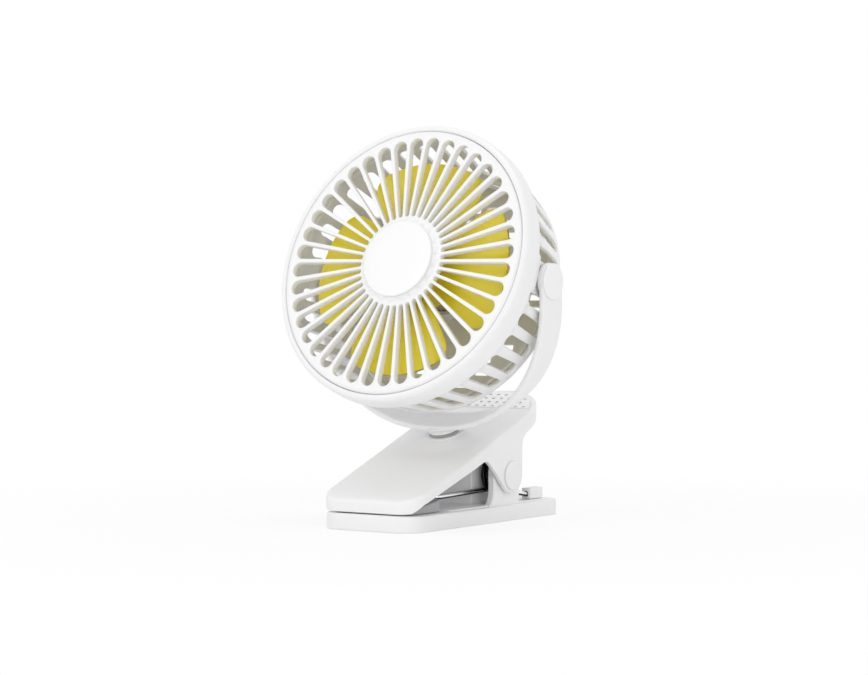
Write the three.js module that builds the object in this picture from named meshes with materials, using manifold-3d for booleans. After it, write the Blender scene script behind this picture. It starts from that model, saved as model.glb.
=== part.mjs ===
// A clip fan: a round, tilting fan head in a swivelling fork that stands on a spring clip.
// Millimetres, +Z up, the air leaves towards -Y. The origin is on the underside of the clip's
// base, straight below the tilt axis. The head is made along its own Z axis and then tilted.
import * as THREE from 'three';
import { mergeVertices } from 'three/addons/utils/BufferGeometryUtils.js';
import Module from 'manifold-3d';

const wasm = await Module();
wasm.setup();

// ---------------------------------------------------------------- driving dimensions
const GAP = 0.3; // air left between two pieces that touch
const DEG = Math.PI / 180;
const ROUND = 64; // sides of the large turned pieces
const CONE_SIDES = 36; // one flat side for each slot of the drum
const MEDIUM_ROUND = 28; // sides of caps, hubs and bosses
const COVER_ROUND = 42; // sides of the rear cover
const SMALL_ROUND = 16; // sides of pins, screws and their holes
const HOLE_ROUND = 6; // sides of the smallest holes

// Clip base
const BASE_HALF_WIDTH = 30;
const BASE_FRONT = -62;
const BASE_REAR = 84;
const BASE_CORNER = 13;
const BASE_REAR_CORNER = 10;
const BASE_THICK = 8.5;
const BASE_WAIST = 1; // how far the rear half of the base is drawn in
const BASE_WAIST_Y = 20;
const BASE_WAIST_RUN = 12;
const SOLE_THICK = 1.2;
const SOLE_MARGIN = 5;
const DECK_HALF_WIDTH = 26.5;
const DECK_FRONT = -22;
const DECK_REAR = 73;
const DECK_TOP = 9.2;
const DECK_CORNER = 3;
const PAD_HALF_WIDTH = 24;
const PAD_FRONT = -57;
const PAD_REAR = -25;
const PAD_CORNER = 5;
const PAD_FRONT_THICK = 1.6;
const PAD_REAR_THICK = 6.6;

// Clip hinge and spring
const HINGE_Y = 30;
const HINGE_Z = 24.2;
const AXLE_RADIUS = 2;
const EAR_INNER = 23.5;
const EAR_THICK = 4;
const EAR_FRONT = 17.5;
const EAR_REAR = 42;
const EAR_TOP = 32.4;
const EAR_CORNER = 6;
const EAR_LOW = 2.2; // inside the base
const EAR_FOOT_RUN = 4.4; // how far the ear's foot spreads forwards
const EAR_FOOT_RISE = 9;
const EAR_BOSS_RADIUS = 6;
const SPOOL_RADIUS = 5.5;
const HOUSING_WALL = 2.4; // of the housing between the two coils
const HOUSING_CLEARANCE = 0.8; // to the wire beside it
const WIRE_RADIUS = 1.3;
const COIL_RADIUS = 8; // to the middle of the wire
const COIL_TURNS = 2;
const COIL_PITCH = 3.1;
const COIL_START = 21.5; // where the outermost turn begins, sideways from the middle
const CURL_STEPS = 8;
const WIRE_SIDES = 5;
const FRONT_LEG_Y = -18.6;
const FRONT_LEG_Z = 15.2;
const FRONT_BEND = 3;
const REAR_LEG_Y = 66;
const REAR_LEG_Z = 10.9;
const SEAT_HALF_WIDTH = 3;
const SEAT_FRONT = 58;
const SEAT_REAR = 71;
const SEAT_TOP = 15.3;
const SEAT_CORNER = 1.5;

// Upper jaw: a hollow scoop with a sloping top
const JAW_SLOPE = 20.7 * DEG;
const JAW_TOP_Z = 38.8; // height of the sloping top where it passes the origin
const JAW_HALF_WIDTH = 31;
const JAW_WALL = 2.6;
const JAW_FRONT = -60.5;
const JAW_CORNER = 12;
const JAW_END_Y = 44.5; // centre of the round rear end
const JAW_TIP_TOP = 15.6;
const JAW_TIP_BOTTOM = 9.2;
const JAW_TIP_RUN = 3; // length of the short bevels at the tip and the notch
const LIP_SLOPE = 0.334;
const LIP_Z = 31.4; // height of the lip line where it passes the origin
const NOTCH_Y = 4.7;
const NOTCH_Z = 32.9;
const LUG_RADIUS = 9.5;
const LUG_REAR = 39.8;
const LUG_TOP = 42.6;
const SKIRT_DEPTH = 9;
const CAP_RADIUS = 7.8;
const CAP_PROUD = 1.1;
const JAW_PAD_THICK = 2.2;
const HOOK_HALF_WIDTH = 5;
const HOOK_WALL = 2;

// Scent lid at the rear of the jaw
const LID_MARGIN = 2.6; // from the jaw's round end in to the lid
const LID_RADIUS = JAW_HALF_WIDTH - LID_MARGIN;
const LID_FRONT = 8; // from the centre of the jaw's round end
const LID_RAISE = 0.4;
const LID_THICK = 1.6;
const TRAY_DEPTH = 5.5;
const TRAY_WALL = 1.4;
const TRAY_INSET = 2.6;
const SCENT_PAD_THICK = 2.2;
const HOLE_RADIUS = 0.9;
const HOLE_PITCH = 5;
const HOLE_FRONT_MARGIN = 2; // from the lid's front edge to the first row of holes
const HOLE_SIDE_MARGIN = 1.7;

// Fork, fitted round the head
const HEAD_RADIUS = 76.4; // the drum's rim
const FORK_LEAN = 7.4 * DEG;
const FORK_REACH = HEAD_RADIUS + 0.4; // from the tilt axis to the outside of the fork's bottom
const NECK_HEIGHT = 8.14; // from the jaw's sloping top to the outside of the fork's bottom
const REACH_BACK = FORK_REACH * Math.sin(FORK_LEAN);
const REACH_DOWN = FORK_REACH * Math.cos(FORK_LEAN);
const NECK_RISE = (NECK_HEIGHT + REACH_BACK * Math.sin(JAW_SLOPE)) / Math.cos(JAW_SLOPE);
const PIVOT_HEIGHT = JAW_TOP_Z + NECK_RISE + REACH_DOWN;
const FORK_TUCK = 1.9; // the arms stand this much closer than the rim, against the drum's flats
const FORK_HALF_SPAN = HEAD_RADIUS - FORK_TUCK;
const FORK_THICK = 3;
const FORK_EDGE = 0.7;
const FORK_HALF_WIDTH = 9.5;
const FORK_SQUARENESS = 2.3;
const FORK_STEPS = 30;
const NECK_RADIUS = 8.3;
const BOSS_RADIUS = 10.5;
const BOSS_HEIGHT = 3.6;
const BOSS_SLANT = 12; // how much wider the boss is at its foot
const WASHER_THICK = 1;
const BOLT_RADIUS = 3;
const BOLT_HEAD_RADIUS = 5.4;
const BOLT_HEAD_THICK = 2;
const SWIVEL_NUT_RISE = 0.6; // of the nut's seat above the neck's foot
const SPRING_WASHER_THICK = 0.8;
const PIVOT_SCREW_RADIUS = 2.4;
const PIVOT_HEAD_RADIUS = 4.6;
const PIVOT_CAP_RADIUS = 9.3;
const PIVOT_CAP_PROUD = 0.9;
const PIVOT_CAP_EDGE = 0.8;
const PIVOT_CAP_DEPTH = 1;
const FRICTION_RADIUS = 8.5;
const FRICTION_THICK = 1.6;

// Head, measured along its own axis from the tilt axis, forwards positive
const HEAD_TILT = 20 * DEG;
const RIM_WIDTH = 3.2;
const RIM_FRONT = 31.2;
const RIM_INNER = HEAD_RADIUS - RIM_WIDTH;
const RIM_EDGE = 2.4; // the rim's front edge is rounded over this length
const BAND_REAR = 18.4;
const BAND_STEP = 2.1;
const DRUM_WALL = 2.3;
const CONE_FRONT_RADIUS = HEAD_RADIUS - BAND_STEP;
const CONE_FRONT = 17.4;
const CONE_TAPER = 6.6;
const CONE_REAR_RADIUS = CONE_FRONT_RADIUS - CONE_TAPER;
const CONE_REAR = -16.4;
const DRUM_REAR = -19.6;
const REAR_FLANGE = 5.1; // from the cone in to the opening for the rear cover
const DRUM_REAR_INNER = CONE_REAR_RADIUS - REAR_FLANGE;
const FLAT_FRONT = 11.5;
const DRUM_SLOTS = 36;
const DRUM_SLOT_HALF = 3.5;
const DRUM_SLOT_FRONT = 15.6;
const DRUM_SLOT_REAR = -14.4;
const PIVOT_BOSS_RADIUS = 6.5;
const PIVOT_BOSS_LENGTH = 11;

// Front grille
const GRILLE_CLEARANCE = 0.8;
const GRILLE_RADIUS = RIM_INNER - GRILLE_CLEARANCE;
const GRILLE_FACE = 31.4;
const GRILLE_THICK = 4;
const GRILLE_SKIRT = 23.6;
const GRILLE_SKIRT_WALL = 1.9;
const GRILLE_SLOTS = 40;
const GRILLE_BORDER = 3.9;
const SLOT_OUTER_RADIUS = GRILLE_RADIUS - GRILLE_BORDER;
const SLOT_OUTER_SHARE = 0.734; // of the spacing between two slots
const SLOT_OUTER_HALF = (SLOT_OUTER_SHARE * SLOT_OUTER_RADIUS * Math.PI) / GRILLE_SLOTS;
const HUB_FOOT_RADIUS = 23.6;
const HUB_MARGIN = 1;
const SLOT_INNER_RADIUS = HUB_FOOT_RADIUS + HUB_MARGIN;
const SLOT_INNER_SHARE = 0.647;
const SLOT_INNER_HALF = (SLOT_INNER_SHARE * SLOT_INNER_RADIUS * Math.PI) / GRILLE_SLOTS;
const HUB_SLANT = 2.4;
const HUB_TOP_RADIUS = HUB_FOOT_RADIUS - HUB_SLANT;
const HUB_FLUTE = 1.4;
const HUB_FLUTES = 20;
const HUB_TOP = 33.2;
const HUB_WALL = 2.4;
const CENTRE_CAP_MARGIN = 0.4;
const CENTRE_CAP_RADIUS = HUB_TOP_RADIUS - CENTRE_CAP_MARGIN;
const CENTRE_CAP_THICK = 1.3;
const CENTRE_CAP_EDGE = 0.6;

// Impeller and motor
const BLADES = 4;
const BLADE_CLEARANCE = 4; // to the drum's rear opening
const BLADE_TIP = DRUM_REAR_INNER - BLADE_CLEARANCE;
const IMPELLER_HUB_RADIUS = 17;
const BLADE_SINK = 1.4; // how far a blade reaches into the wall of the hub
const BLADE_ROOT = IMPELLER_HUB_RADIUS - BLADE_SINK;
const BLADE_HALF_ANGLE = 35.7 * DEG;
const BLADE_ROOT_HALF_ANGLE = 44 * DEG;
const BLADE_START = -2.9 * DEG; // where the middle of the first blade's root points
const BLADE_SWEEP = 3.9 * DEG; // how far its tip is turned on from its root
const BLADE_CORNER = 8;
const BLADE_THICK = 1.5;
const BLADE_MIDDLE = 18;
const BLADE_RISE = 2.7; // from the middle of a blade's tip to its front corner
const BLADE_STRIPS = 6;
const BLADE_INNER_STEPS = 3;
const BLADE_CORNER_STEPS = 3;
const IMPELLER_HUB_WALL = 1.8;
const IMPELLER_HUB_EDGE = 1.6;
const IMPELLER_REAR = 2;
const IMPELLER_FRONT = 22.4;
const SHAFT_RADIUS = 1;
const NUT_RADIUS = 3.6;
const NUT_THICK = 2.2;
const MOTOR_RADIUS = 12;
const MOTOR_FRONT = -3;
const MOTOR_EDGE = 1;
const MOTOR_CLIP_DEPTH = 7;
const MOTOR_CLIP_WALL = 2;
const BUSHING_RADIUS = 3.2;
const BUSHING_LENGTH = 2;

// Rear cover with its pod for the battery and the circuit board
const COVER_CLEARANCE = 0.4;
const COVER_RADIUS = DRUM_REAR_INNER - COVER_CLEARANCE;
const COVER_WALL = 2;
const COVER_DISH = 5.2;
const COVER_FACE_RADIUS = COVER_RADIUS - COVER_DISH;
const COVER_FACE = -26.8;
const VENT_WIDTH = 9;
const VENT_HEIGHT = 3.6;
const VENT_PITCH_X = 12.4;
const VENT_PITCH_Y = 7;
const VENT_MARGIN = 2;
const POD_RADIUS = 29;
const POD_WALL = 2;
const POD_BACK = -41;
const POD_EDGE = 4;
const MOUNT_PLATE_RADIUS = 36;
const MOUNT_PLATE_THICK = 2;
const MOUNT_BOSS_RADIUS = 3.2;
const MOUNT_BOSS_HEIGHT = 1.7;
const MOUNT_SCREW_CIRCLE = 32.6;
const SCREW_RADIUS = 1.3;
const SCREW_HEAD_RADIUS = 2.6;
const SCREW_HEAD_THICK = 1.5;
const SCREW_GRIP = 3.2;
const BATTERY_WIDTH = 42;
const BATTERY_HEIGHT = 28;
const BATTERY_THICK = 8;
const BATTERY_CORNER = 3;
const FOAM_MARGIN = 6; // from the battery's edge to the foam's
const BOARD_WIDTH = 40;
const BOARD_HEIGHT = 30;
const BOARD_THICK = 1.2;
const BOARD_CORNER = 2;
const BOARD_HEIGHT_IN_POD = 4.4; // room for the switch between the pod's floor and the board
const POST_MARGIN = 3;
const BOARD_POST_RADIUS = 1.6;
const BUTTON_RADIUS = 6;
const BUTTON_PROUD = 1;
const BUTTON_FLANGE = 1.4;
const BUTTON_FLANGE_THICK = 0.8;
const BUTTON_STEM = 2;
const BUTTON_TRAVEL = 0.7;
const SWITCH_SIDE = 6;
const SWITCH_THICK = 1.6;
const PORT_WIDTH = 9;
const PORT_DEPTH = 8;
const PORT_TALL = 3.3;
const PORT_WALL = 0.4;
const PORT_INSET = 0.6;
const LENS_RADIUS = 1.5;
const LENS_Y = 13;
const LENS_PROUD = 0.2;

// ---------------------------------------------------------------- materials
const finish = (color, roughness, metalness = 0) =>
  new THREE.MeshStandardMaterial({ color, roughness, metalness });
const whitePlastic = finish(0xf0f0ef, 0.42);
const warmWhite = finish(0xf4f4f2, 0.35);
const greyPlastic = finish(0xd2d3d0, 0.55);
const yellowPlastic = finish(0xe0cb2c, 0.38);
const softPad = finish(0xc9cac8, 0.8);
const felt = finish(0xe8e4da, 0.95);
const steel = finish(0xb4b6ba, 0.25, 1);
const brass = finish(0xb99a55, 0.35, 1);
const boardGreen = finish(0x1f5a3c, 0.5);
const cellBlue = finish(0x3b5f9a, 0.45);
const darkPlastic = finish(0x26272a, 0.5);
const lensPlastic = finish(0xdfeeff, 0.15);

// ---------------------------------------------------------------- solids
const rotateX = (angle) => new THREE.Matrix4().makeRotationX(angle);
const rotateZ = (angle) => new THREE.Matrix4().makeRotationZ(angle);
const shift = (x, y, z) => new THREE.Matrix4().makeTranslation(x, y, z);

function signedVolume(position, index) {
  const [a, b, c] = [new THREE.Vector3(), new THREE.Vector3(), new THREE.Vector3()];
  let sum = 0;
  for (let i = 0; i < index.length; i += 3) {
    a.fromBufferAttribute(position, index[i]);
    b.fromBufferAttribute(position, index[i + 1]);
    c.fromBufferAttribute(position, index[i + 2]);
    sum += a.dot(b.cross(c));
  }
  return sum;
}

// One closed solid from a geometry, with its faces turned outwards.
function solid(geometry) {
  const bare = new THREE.BufferGeometry();
  bare.setAttribute('position', geometry.getAttribute('position').clone());
  const count = bare.getAttribute('position').count;
  const order = geometry.index ? Array.from(geometry.index.array) : [...Array(count).keys()];
  bare.setIndex(order);
  const merged = mergeVertices(bare, 1e-4);
  const source = merged.index.array;
  const kept = [];
  for (let i = 0; i < source.length; i += 3) {
    const [a, b, c] = [source[i], source[i + 1], source[i + 2]];
    if (a !== b && b !== c && c !== a) kept.push(a, b, c);
  }
  const position = merged.getAttribute('position');
  if (signedVolume(position, kept) < 0) kept.reverse();
  const mesh = new wasm.Mesh({
    numProp: 3,
    vertProperties: new Float32Array(position.array),
    triVerts: new Uint32Array(kept),
  });
  return new wasm.Manifold(mesh);
}

const join = (...solids) => solids.reduce((sum, next) => sum.add(next));
const cut = (body, ...tools) => tools.reduce((rest, tool) => rest.subtract(tool), body);
const moved = (geometry, ...matrices) => {
  const copy = geometry.clone();
  matrices.forEach((matrix) => copy.applyMatrix4(matrix));
  return copy;
};

function geometryOf(body) {
  const mesh = body.getMesh();
  const geometry = new THREE.BufferGeometry();
  geometry.setAttribute('position', new THREE.BufferAttribute(mesh.vertProperties, 3));
  geometry.setIndex(new THREE.BufferAttribute(mesh.triVerts, 1));
  geometry.computeVertexNormals();
  return geometry;
}

function named(name, body, material) {
  const mesh = new THREE.Mesh(geometryOf(body), material);
  mesh.name = name;
  return mesh;
}

// ---------------------------------------------------------------- shapes
const boxOf = (x0, x1, y0, y1, z0, z1) =>
  moved(
    new THREE.BoxGeometry(x1 - x0, y1 - y0, z1 - z0),
    shift((x0 + x1) / 2, (y0 + y1) / 2, (z0 + z1) / 2),
  );
// A round bar along Z from z0 to z1.
const barZ = (radius, z0, z1, sides = SMALL_ROUND) =>
  moved(
    new THREE.CylinderGeometry(radius, radius, z1 - z0, sides),
    rotateX(Math.PI / 2),
    shift(0, 0, (z0 + z1) / 2),
  );
// A round bar along X from x0 to x1, through (y, z).
const barX = (radius, x0, x1, y, z, sides = SMALL_ROUND) =>
  moved(
    new THREE.CylinderGeometry(radius, radius, x1 - x0, sides),
    rotateZ(Math.PI / 2),
    shift((x0 + x1) / 2, y, z),
  );
// A profile of [radius, z] points, turned about Z.
const turned = (profile, sides = ROUND, start = 0) =>
  moved(
    new THREE.LatheGeometry(profile.map(([r, z]) => new THREE.Vector2(r, z)), sides, start),
    rotateX(Math.PI / 2),
  );
const closed = (profile) => [...profile, profile[0]];
const ring = (inner, outer, z0, z1, sides = ROUND) =>
  turned(closed([[inner, z0], [outer, z0], [outer, z1], [inner, z1]]), sides);
const extrudeZ = (shape, z0, z1, curveSegments = 4) =>
  moved(
    new THREE.ExtrudeGeometry(shape, { depth: z1 - z0, bevelEnabled: false, curveSegments }),
    shift(0, 0, z0),
  );
// A side view drawn as (y, z), carried sideways from x0 to x1.
const extrudeX = (shape, x0, x1, curveSegments = 5) =>
  moved(
    new THREE.ExtrudeGeometry(shape, { depth: x1 - x0, bevelEnabled: false, curveSegments }),
    new THREE.Matrix4().set(0, 0, 1, x0, 1, 0, 0, 0, 0, 1, 0, 0, 0, 0, 0, 1),
  );
const polygon = (points) => new THREE.Shape(points.map(([x, y]) => new THREE.Vector2(x, y)));

function roundedRect(x0, x1, y0, y1, radius) {
  const shape = new THREE.Shape();
  shape.moveTo(x0 + radius, y0);
  shape.lineTo(x1 - radius, y0);
  shape.absarc(x1 - radius, y0 + radius, radius, -Math.PI / 2, 0);
  shape.lineTo(x1, y1 - radius);
  shape.absarc(x1 - radius, y1 - radius, radius, 0, Math.PI / 2);
  shape.lineTo(x0 + radius, y1);
  shape.absarc(x0 + radius, y1 - radius, radius, Math.PI / 2, Math.PI);
  shape.lineTo(x0, y0 + radius);
  shape.absarc(x0 + radius, y0 + radius, radius, Math.PI, Math.PI * 1.5);
  return shape;
}

// A closed skin over rings of points; every ring has as many points as the first.
function loft(rings) {
  const sides = rings[0].length;
  const points = rings.flat();
  const index = [];
  for (let i = 0; i + 1 < rings.length; i += 1) {
    for (let j = 0; j < sides; j += 1) {
      const next = (j + 1) % sides;
      const [a, b] = [i * sides + j, i * sides + next];
      index.push(a, b, b + sides, a, b + sides, a + sides);
    }
  }
  const last = (rings.length - 1) * sides;
  for (let j = 1; j + 1 < sides; j += 1) {
    index.push(0, j + 1, j);
    index.push(last, last + j, last + j + 1);
  }
  const geometry = new THREE.BufferGeometry().setFromPoints(points);
  geometry.setIndex(index);
  return geometry;
}

// A round wire along a list of points, with flat ends.
function wire(points, radius, sides) {
  const normal = new THREE.Vector3(1, 0, 0);
  const rings = points.map((point, i) => {
    const before = points[Math.max(i - 1, 0)];
    const after = points[Math.min(i + 1, points.length - 1)];
    const tangent = after.clone().sub(before).normalize();
    normal.addScaledVector(tangent, -normal.dot(tangent)).normalize();
    const side = tangent.clone().cross(normal);
    return Array.from({ length: sides }, (_, k) => {
      const angle = (k / sides) * 2 * Math.PI;
      return point
        .clone()
        .addScaledVector(normal, radius * Math.cos(angle))
        .addScaledVector(side, radius * Math.sin(angle));
    });
  });
  return loft(rings);
}

// ---------------------------------------------------------------- clip base
function baseOutline(inset) {
  const half = BASE_HALF_WIDTH - inset;
  const rearHalf = half - BASE_WAIST;
  const front = BASE_FRONT + inset;
  const rear = BASE_REAR - inset;
  const corner = BASE_CORNER - inset / 2;
  const rearCorner = BASE_REAR_CORNER - inset / 2;
  const waistEnd = BASE_WAIST_Y + BASE_WAIST_RUN;
  const shape = new THREE.Shape();
  shape.moveTo(-half + corner, front);
  shape.lineTo(half - corner, front);
  shape.absarc(half - corner, front + corner, corner, -Math.PI / 2, 0);
  shape.lineTo(half, BASE_WAIST_Y);
  shape.lineTo(rearHalf, waistEnd);
  shape.lineTo(rearHalf, rear - rearCorner);
  shape.absarc(rearHalf - rearCorner, rear - rearCorner, rearCorner, 0, Math.PI / 2);
  shape.lineTo(-rearHalf + rearCorner, rear);
  shape.absarc(-rearHalf + rearCorner, rear - rearCorner, rearCorner, Math.PI / 2, Math.PI);
  shape.lineTo(-rearHalf, waistEnd);
  shape.lineTo(-half, BASE_WAIST_Y);
  shape.lineTo(-half, front + corner);
  shape.absarc(-half + corner, front + corner, corner, Math.PI, Math.PI * 1.5);
  return shape;
}

// An ear seen from the side, with its front edge curving out into a foot.
function earOutline() {
  const shape = new THREE.Shape();
  shape.moveTo(EAR_FRONT - EAR_FOOT_RUN, EAR_LOW);
  shape.lineTo(EAR_REAR, EAR_LOW);
  shape.lineTo(EAR_REAR, EAR_TOP - EAR_CORNER);
  shape.absarc(EAR_REAR - EAR_CORNER, EAR_TOP - EAR_CORNER, EAR_CORNER, 0, Math.PI / 2);
  shape.absarc(EAR_FRONT + EAR_CORNER, EAR_TOP - EAR_CORNER, EAR_CORNER, Math.PI / 2, Math.PI);
  shape.lineTo(EAR_FRONT, DECK_TOP + EAR_FOOT_RISE);
  shape.quadraticCurveTo(EAR_FRONT, DECK_TOP, EAR_FRONT - EAR_FOOT_RUN, DECK_TOP);
  return shape;
}

function ear(side) {
  const inner = side > 0 ? EAR_INNER : -EAR_INNER - EAR_THICK;
  const plate = solid(extrudeX(earOutline(), inner, inner + EAR_THICK));
  const lugInner = JAW_HALF_WIDTH - JAW_WALL - GAP;
  const ends = [EAR_INNER, lugInner].map((x) => x * side).sort((a, b) => a - b);
  const outerBoss = solid(barX(EAR_BOSS_RADIUS, ...ends, HINGE_Y, HINGE_Z));
  const spoolEnd = COIL_START - COIL_TURNS * COIL_PITCH;
  const spool = [spoolEnd, EAR_INNER + EAR_THICK / 2].map((x) => x * side).sort((a, b) => a - b);
  return join(plate, outerBoss, solid(barX(SPOOL_RADIUS, ...spool, HINGE_Y, HINGE_Z)));
}

// Three walls between the coils, closed towards the front: they hide the axle's middle.
function coilHousing() {
  const half = frontLegX() - WIRE_RADIUS - HOUSING_CLEARANCE;
  const inner = half - HOUSING_WALL;
  const low = BASE_THICK / 2;
  const block = solid(boxOf(-half, half, EAR_FRONT, EAR_REAR, low, EAR_TOP));
  const back = EAR_REAR + HOUSING_WALL;
  return cut(block, solid(boxOf(-inner, inner, EAR_FRONT + HOUSING_WALL, back, 0, 2 * EAR_TOP)));
}

function baseShell() {
  const plate = solid(extrudeZ(baseOutline(0), 0, BASE_THICK));
  const deckHalf = DECK_HALF_WIDTH;
  const deckOutline = roundedRect(-deckHalf, deckHalf, DECK_FRONT, DECK_REAR, DECK_CORNER);
  const deck = solid(extrudeZ(deckOutline, BASE_THICK / 2, DECK_TOP, 3));
  const soleRecess = solid(extrudeZ(baseOutline(SOLE_MARGIN - GAP), -1, SOLE_THICK + GAP, 4));
  const axleHole = solid(
    barX(AXLE_RADIUS + GAP, -JAW_HALF_WIDTH, JAW_HALF_WIDTH, HINGE_Y, HINGE_Z),
  );
  return cut(join(plate, deck, ear(1), ear(-1), coilHousing()), soleRecess, axleHole);
}

const baseSole = () => solid(extrudeZ(baseOutline(SOLE_MARGIN), 0, SOLE_THICK, 4));

function basePad() {
  const low = BASE_THICK + GAP;
  const side = polygon([
    [PAD_FRONT, low],
    [PAD_REAR, low],
    [PAD_REAR, low + PAD_REAR_THICK],
    [PAD_FRONT, low + PAD_FRONT_THICK],
  ]);
  const wedge = solid(extrudeX(side, -PAD_HALF_WIDTH, PAD_HALF_WIDTH));
  const plan = roundedRect(-PAD_HALF_WIDTH, PAD_HALF_WIDTH, PAD_FRONT, PAD_REAR, PAD_CORNER);
  return wedge.intersect(solid(extrudeZ(plan, 0, 3 * BASE_THICK, 3)));
}

const springLegX = () => COIL_START;
const frontLegX = () => COIL_START - COIL_TURNS * COIL_PITCH;

function springSeat(side) {
  const centre = springLegX() * side;
  const block = solid(
    extrudeZ(
      roundedRect(centre - SEAT_HALF_WIDTH, centre + SEAT_HALF_WIDTH, SEAT_FRONT, SEAT_REAR, SEAT_CORNER),
      DECK_TOP + GAP,
      SEAT_TOP,
      3,
    ),
  );
  const hole = solid(wire(rearLegLine(side), WIRE_RADIUS + GAP, SMALL_ROUND));
  return cut(block, hole);
}

// The straight rear leg of the spring, from its end to the coil, and a little past its end.
function rearLegLine(side) {
  const x = springLegX() * side;
  const end = new THREE.Vector3(x, REAR_LEG_Y + GAP, REAR_LEG_Z);
  const start = new THREE.Vector3(x, HINGE_Y, HINGE_Z - COIL_RADIUS);
  return [end, end.clone().lerp(start, 0.5), start];
}

// One half of the spring's route: rear leg, coil, then the front leg up to the bridge.
function springHalf(side) {
  const points = [];
  const legX = springLegX();
  const low = HINGE_Z - COIL_RADIUS;
  const end = new THREE.Vector3(legX, REAR_LEG_Y, REAR_LEG_Z);
  const coilFoot = new THREE.Vector3(legX, HINGE_Y, low);
  const straight = (2 * WIRE_RADIUS) / end.distanceTo(coilFoot);
  points.push(end, end.clone().lerp(coilFoot, straight), end.clone().lerp(coilFoot, 0.5));
  const steps = COIL_TURNS * CURL_STEPS;
  for (let i = 0; i <= steps; i += 1) {
    const angle = (i / CURL_STEPS) * 2 * Math.PI;
    const x = legX - (i / CURL_STEPS) * COIL_PITCH;
    const y = HINGE_Y - COIL_RADIUS * Math.sin(angle);
    const z = HINGE_Z - COIL_RADIUS * Math.cos(angle);
    points.push(new THREE.Vector3(x, y, z));
  }
  const innerX = frontLegX();
  points.push(new THREE.Vector3(innerX, (FRONT_LEG_Y + HINGE_Y) / 2, (FRONT_LEG_Z + low) / 2));
  points.push(new THREE.Vector3(innerX, FRONT_LEG_Y + FRONT_BEND, FRONT_LEG_Z));
  const inset = FRONT_BEND * (1 - Math.SQRT1_2);
  points.push(new THREE.Vector3(innerX - inset, FRONT_LEG_Y + inset, FRONT_LEG_Z));
  points.push(new THREE.Vector3(innerX - FRONT_BEND, FRONT_LEG_Y, FRONT_LEG_Z));
  return points.map((p) => new THREE.Vector3(p.x * side, p.y, p.z));
}

// The least distance between the wire and itself, turn against turn.
function springGap(points) {
  let least = Infinity;
  points.forEach((a, i) => {
    points.slice(i + CURL_STEPS - 1).forEach((b) => {
      least = Math.min(least, a.distanceTo(b));
    });
  });
  return least - 2 * WIRE_RADIUS;
}

function torsionSpring() {
  const route = [...springHalf(1), ...springHalf(-1).reverse()];
  console.log(`spring: least gap to itself ${springGap(route).toFixed(2)} mm`);
  return solid(wire(route, WIRE_RADIUS, WIRE_SIDES));
}

const axle = () => {
  const half = JAW_HALF_WIDTH - GAP;
  return solid(barX(AXLE_RADIUS, -half, half, HINGE_Y, HINGE_Z));
};

// ---------------------------------------------------------------- upper jaw
const jawTop = (y) => JAW_TOP_Z + Math.tan(JAW_SLOPE) * y;
const lip = (y) => LIP_Z + LIP_SLOPE * y;
// From the jaw's sloping plane to the model: x sideways, y up the slope, z out of the plane.
const onSlope = (y) =>
  new THREE.Matrix4().multiplyMatrices(shift(0, y, jawTop(y)), rotateX(JAW_SLOPE));

function jawPlan(inset) {
  const half = JAW_HALF_WIDTH - inset;
  const front = JAW_FRONT + inset;
  const corner = JAW_CORNER - inset;
  const shape = new THREE.Shape();
  shape.moveTo(-half + corner, front);
  shape.lineTo(half - corner, front);
  shape.absarc(half - corner, front + corner, corner, -Math.PI / 2, 0);
  shape.lineTo(half, JAW_END_Y);
  shape.absarc(0, JAW_END_Y, half, 0, Math.PI);
  shape.lineTo(-half, front + corner);
  shape.absarc(-half + corner, front + corner, corner, Math.PI, Math.PI * 1.5);
  return shape;
}

function jawSide() {
  const end = JAW_END_Y + JAW_HALF_WIDTH;
  const shape = new THREE.Shape();
  const tipRun = JAW_TIP_RUN;
  shape.moveTo(JAW_FRONT, JAW_TIP_BOTTOM);
  shape.lineTo(JAW_FRONT + tipRun, JAW_TIP_BOTTOM + 0.6);
  shape.lineTo(JAW_FRONT + 3 * tipRun, lip(JAW_FRONT + 3 * tipRun));
  shape.lineTo(NOTCH_Y - tipRun, NOTCH_Z - 0.8);
  shape.quadraticCurveTo(NOTCH_Y, NOTCH_Z + 0.6, NOTCH_Y + tipRun, NOTCH_Z - 1.2);
  shape.lineTo(HINGE_Y - LUG_RADIUS * 0.78, HINGE_Z - LUG_RADIUS * 0.63);
  shape.absarc(HINGE_Y, HINGE_Z, LUG_RADIUS, Math.PI + 0.68, 2 * Math.PI);
  shape.lineTo(LUG_REAR, LUG_TOP - tipRun);
  const skirtY = LUG_REAR + tipRun;
  shape.quadraticCurveTo(LUG_REAR, LUG_TOP, skirtY, jawTop(skirtY) - SKIRT_DEPTH);
  shape.lineTo(end, jawTop(end) - SKIRT_DEPTH);
  shape.lineTo(end, jawTop(end));
  shape.lineTo(JAW_FRONT + tipRun, jawTop(JAW_FRONT + tipRun));
  shape.lineTo(JAW_FRONT, JAW_TIP_TOP);
  return shape;
}

const lidOutline = (inset) => {
  const radius = LID_RADIUS - inset;
  const front = LID_FRONT + inset;
  const angle = Math.asin(front / radius);
  const shape = new THREE.Shape();
  shape.moveTo(-radius * Math.cos(angle), front);
  shape.lineTo(radius * Math.cos(angle), front);
  shape.absarc(0, 0, radius, angle, Math.PI - angle);
  return shape;
};

const forkDown = () => new THREE.Vector3(0, Math.sin(FORK_LEAN), -Math.cos(FORK_LEAN));
const pivot = () => new THREE.Vector3(0, 0, PIVOT_HEIGHT);
// The neck's axis runs along the normal of the slope, through the fork's bottom, and meets
// the jaw's top at this y.
const NECK_Y = REACH_BACK + NECK_HEIGHT * Math.sin(JAW_SLOPE);

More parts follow.
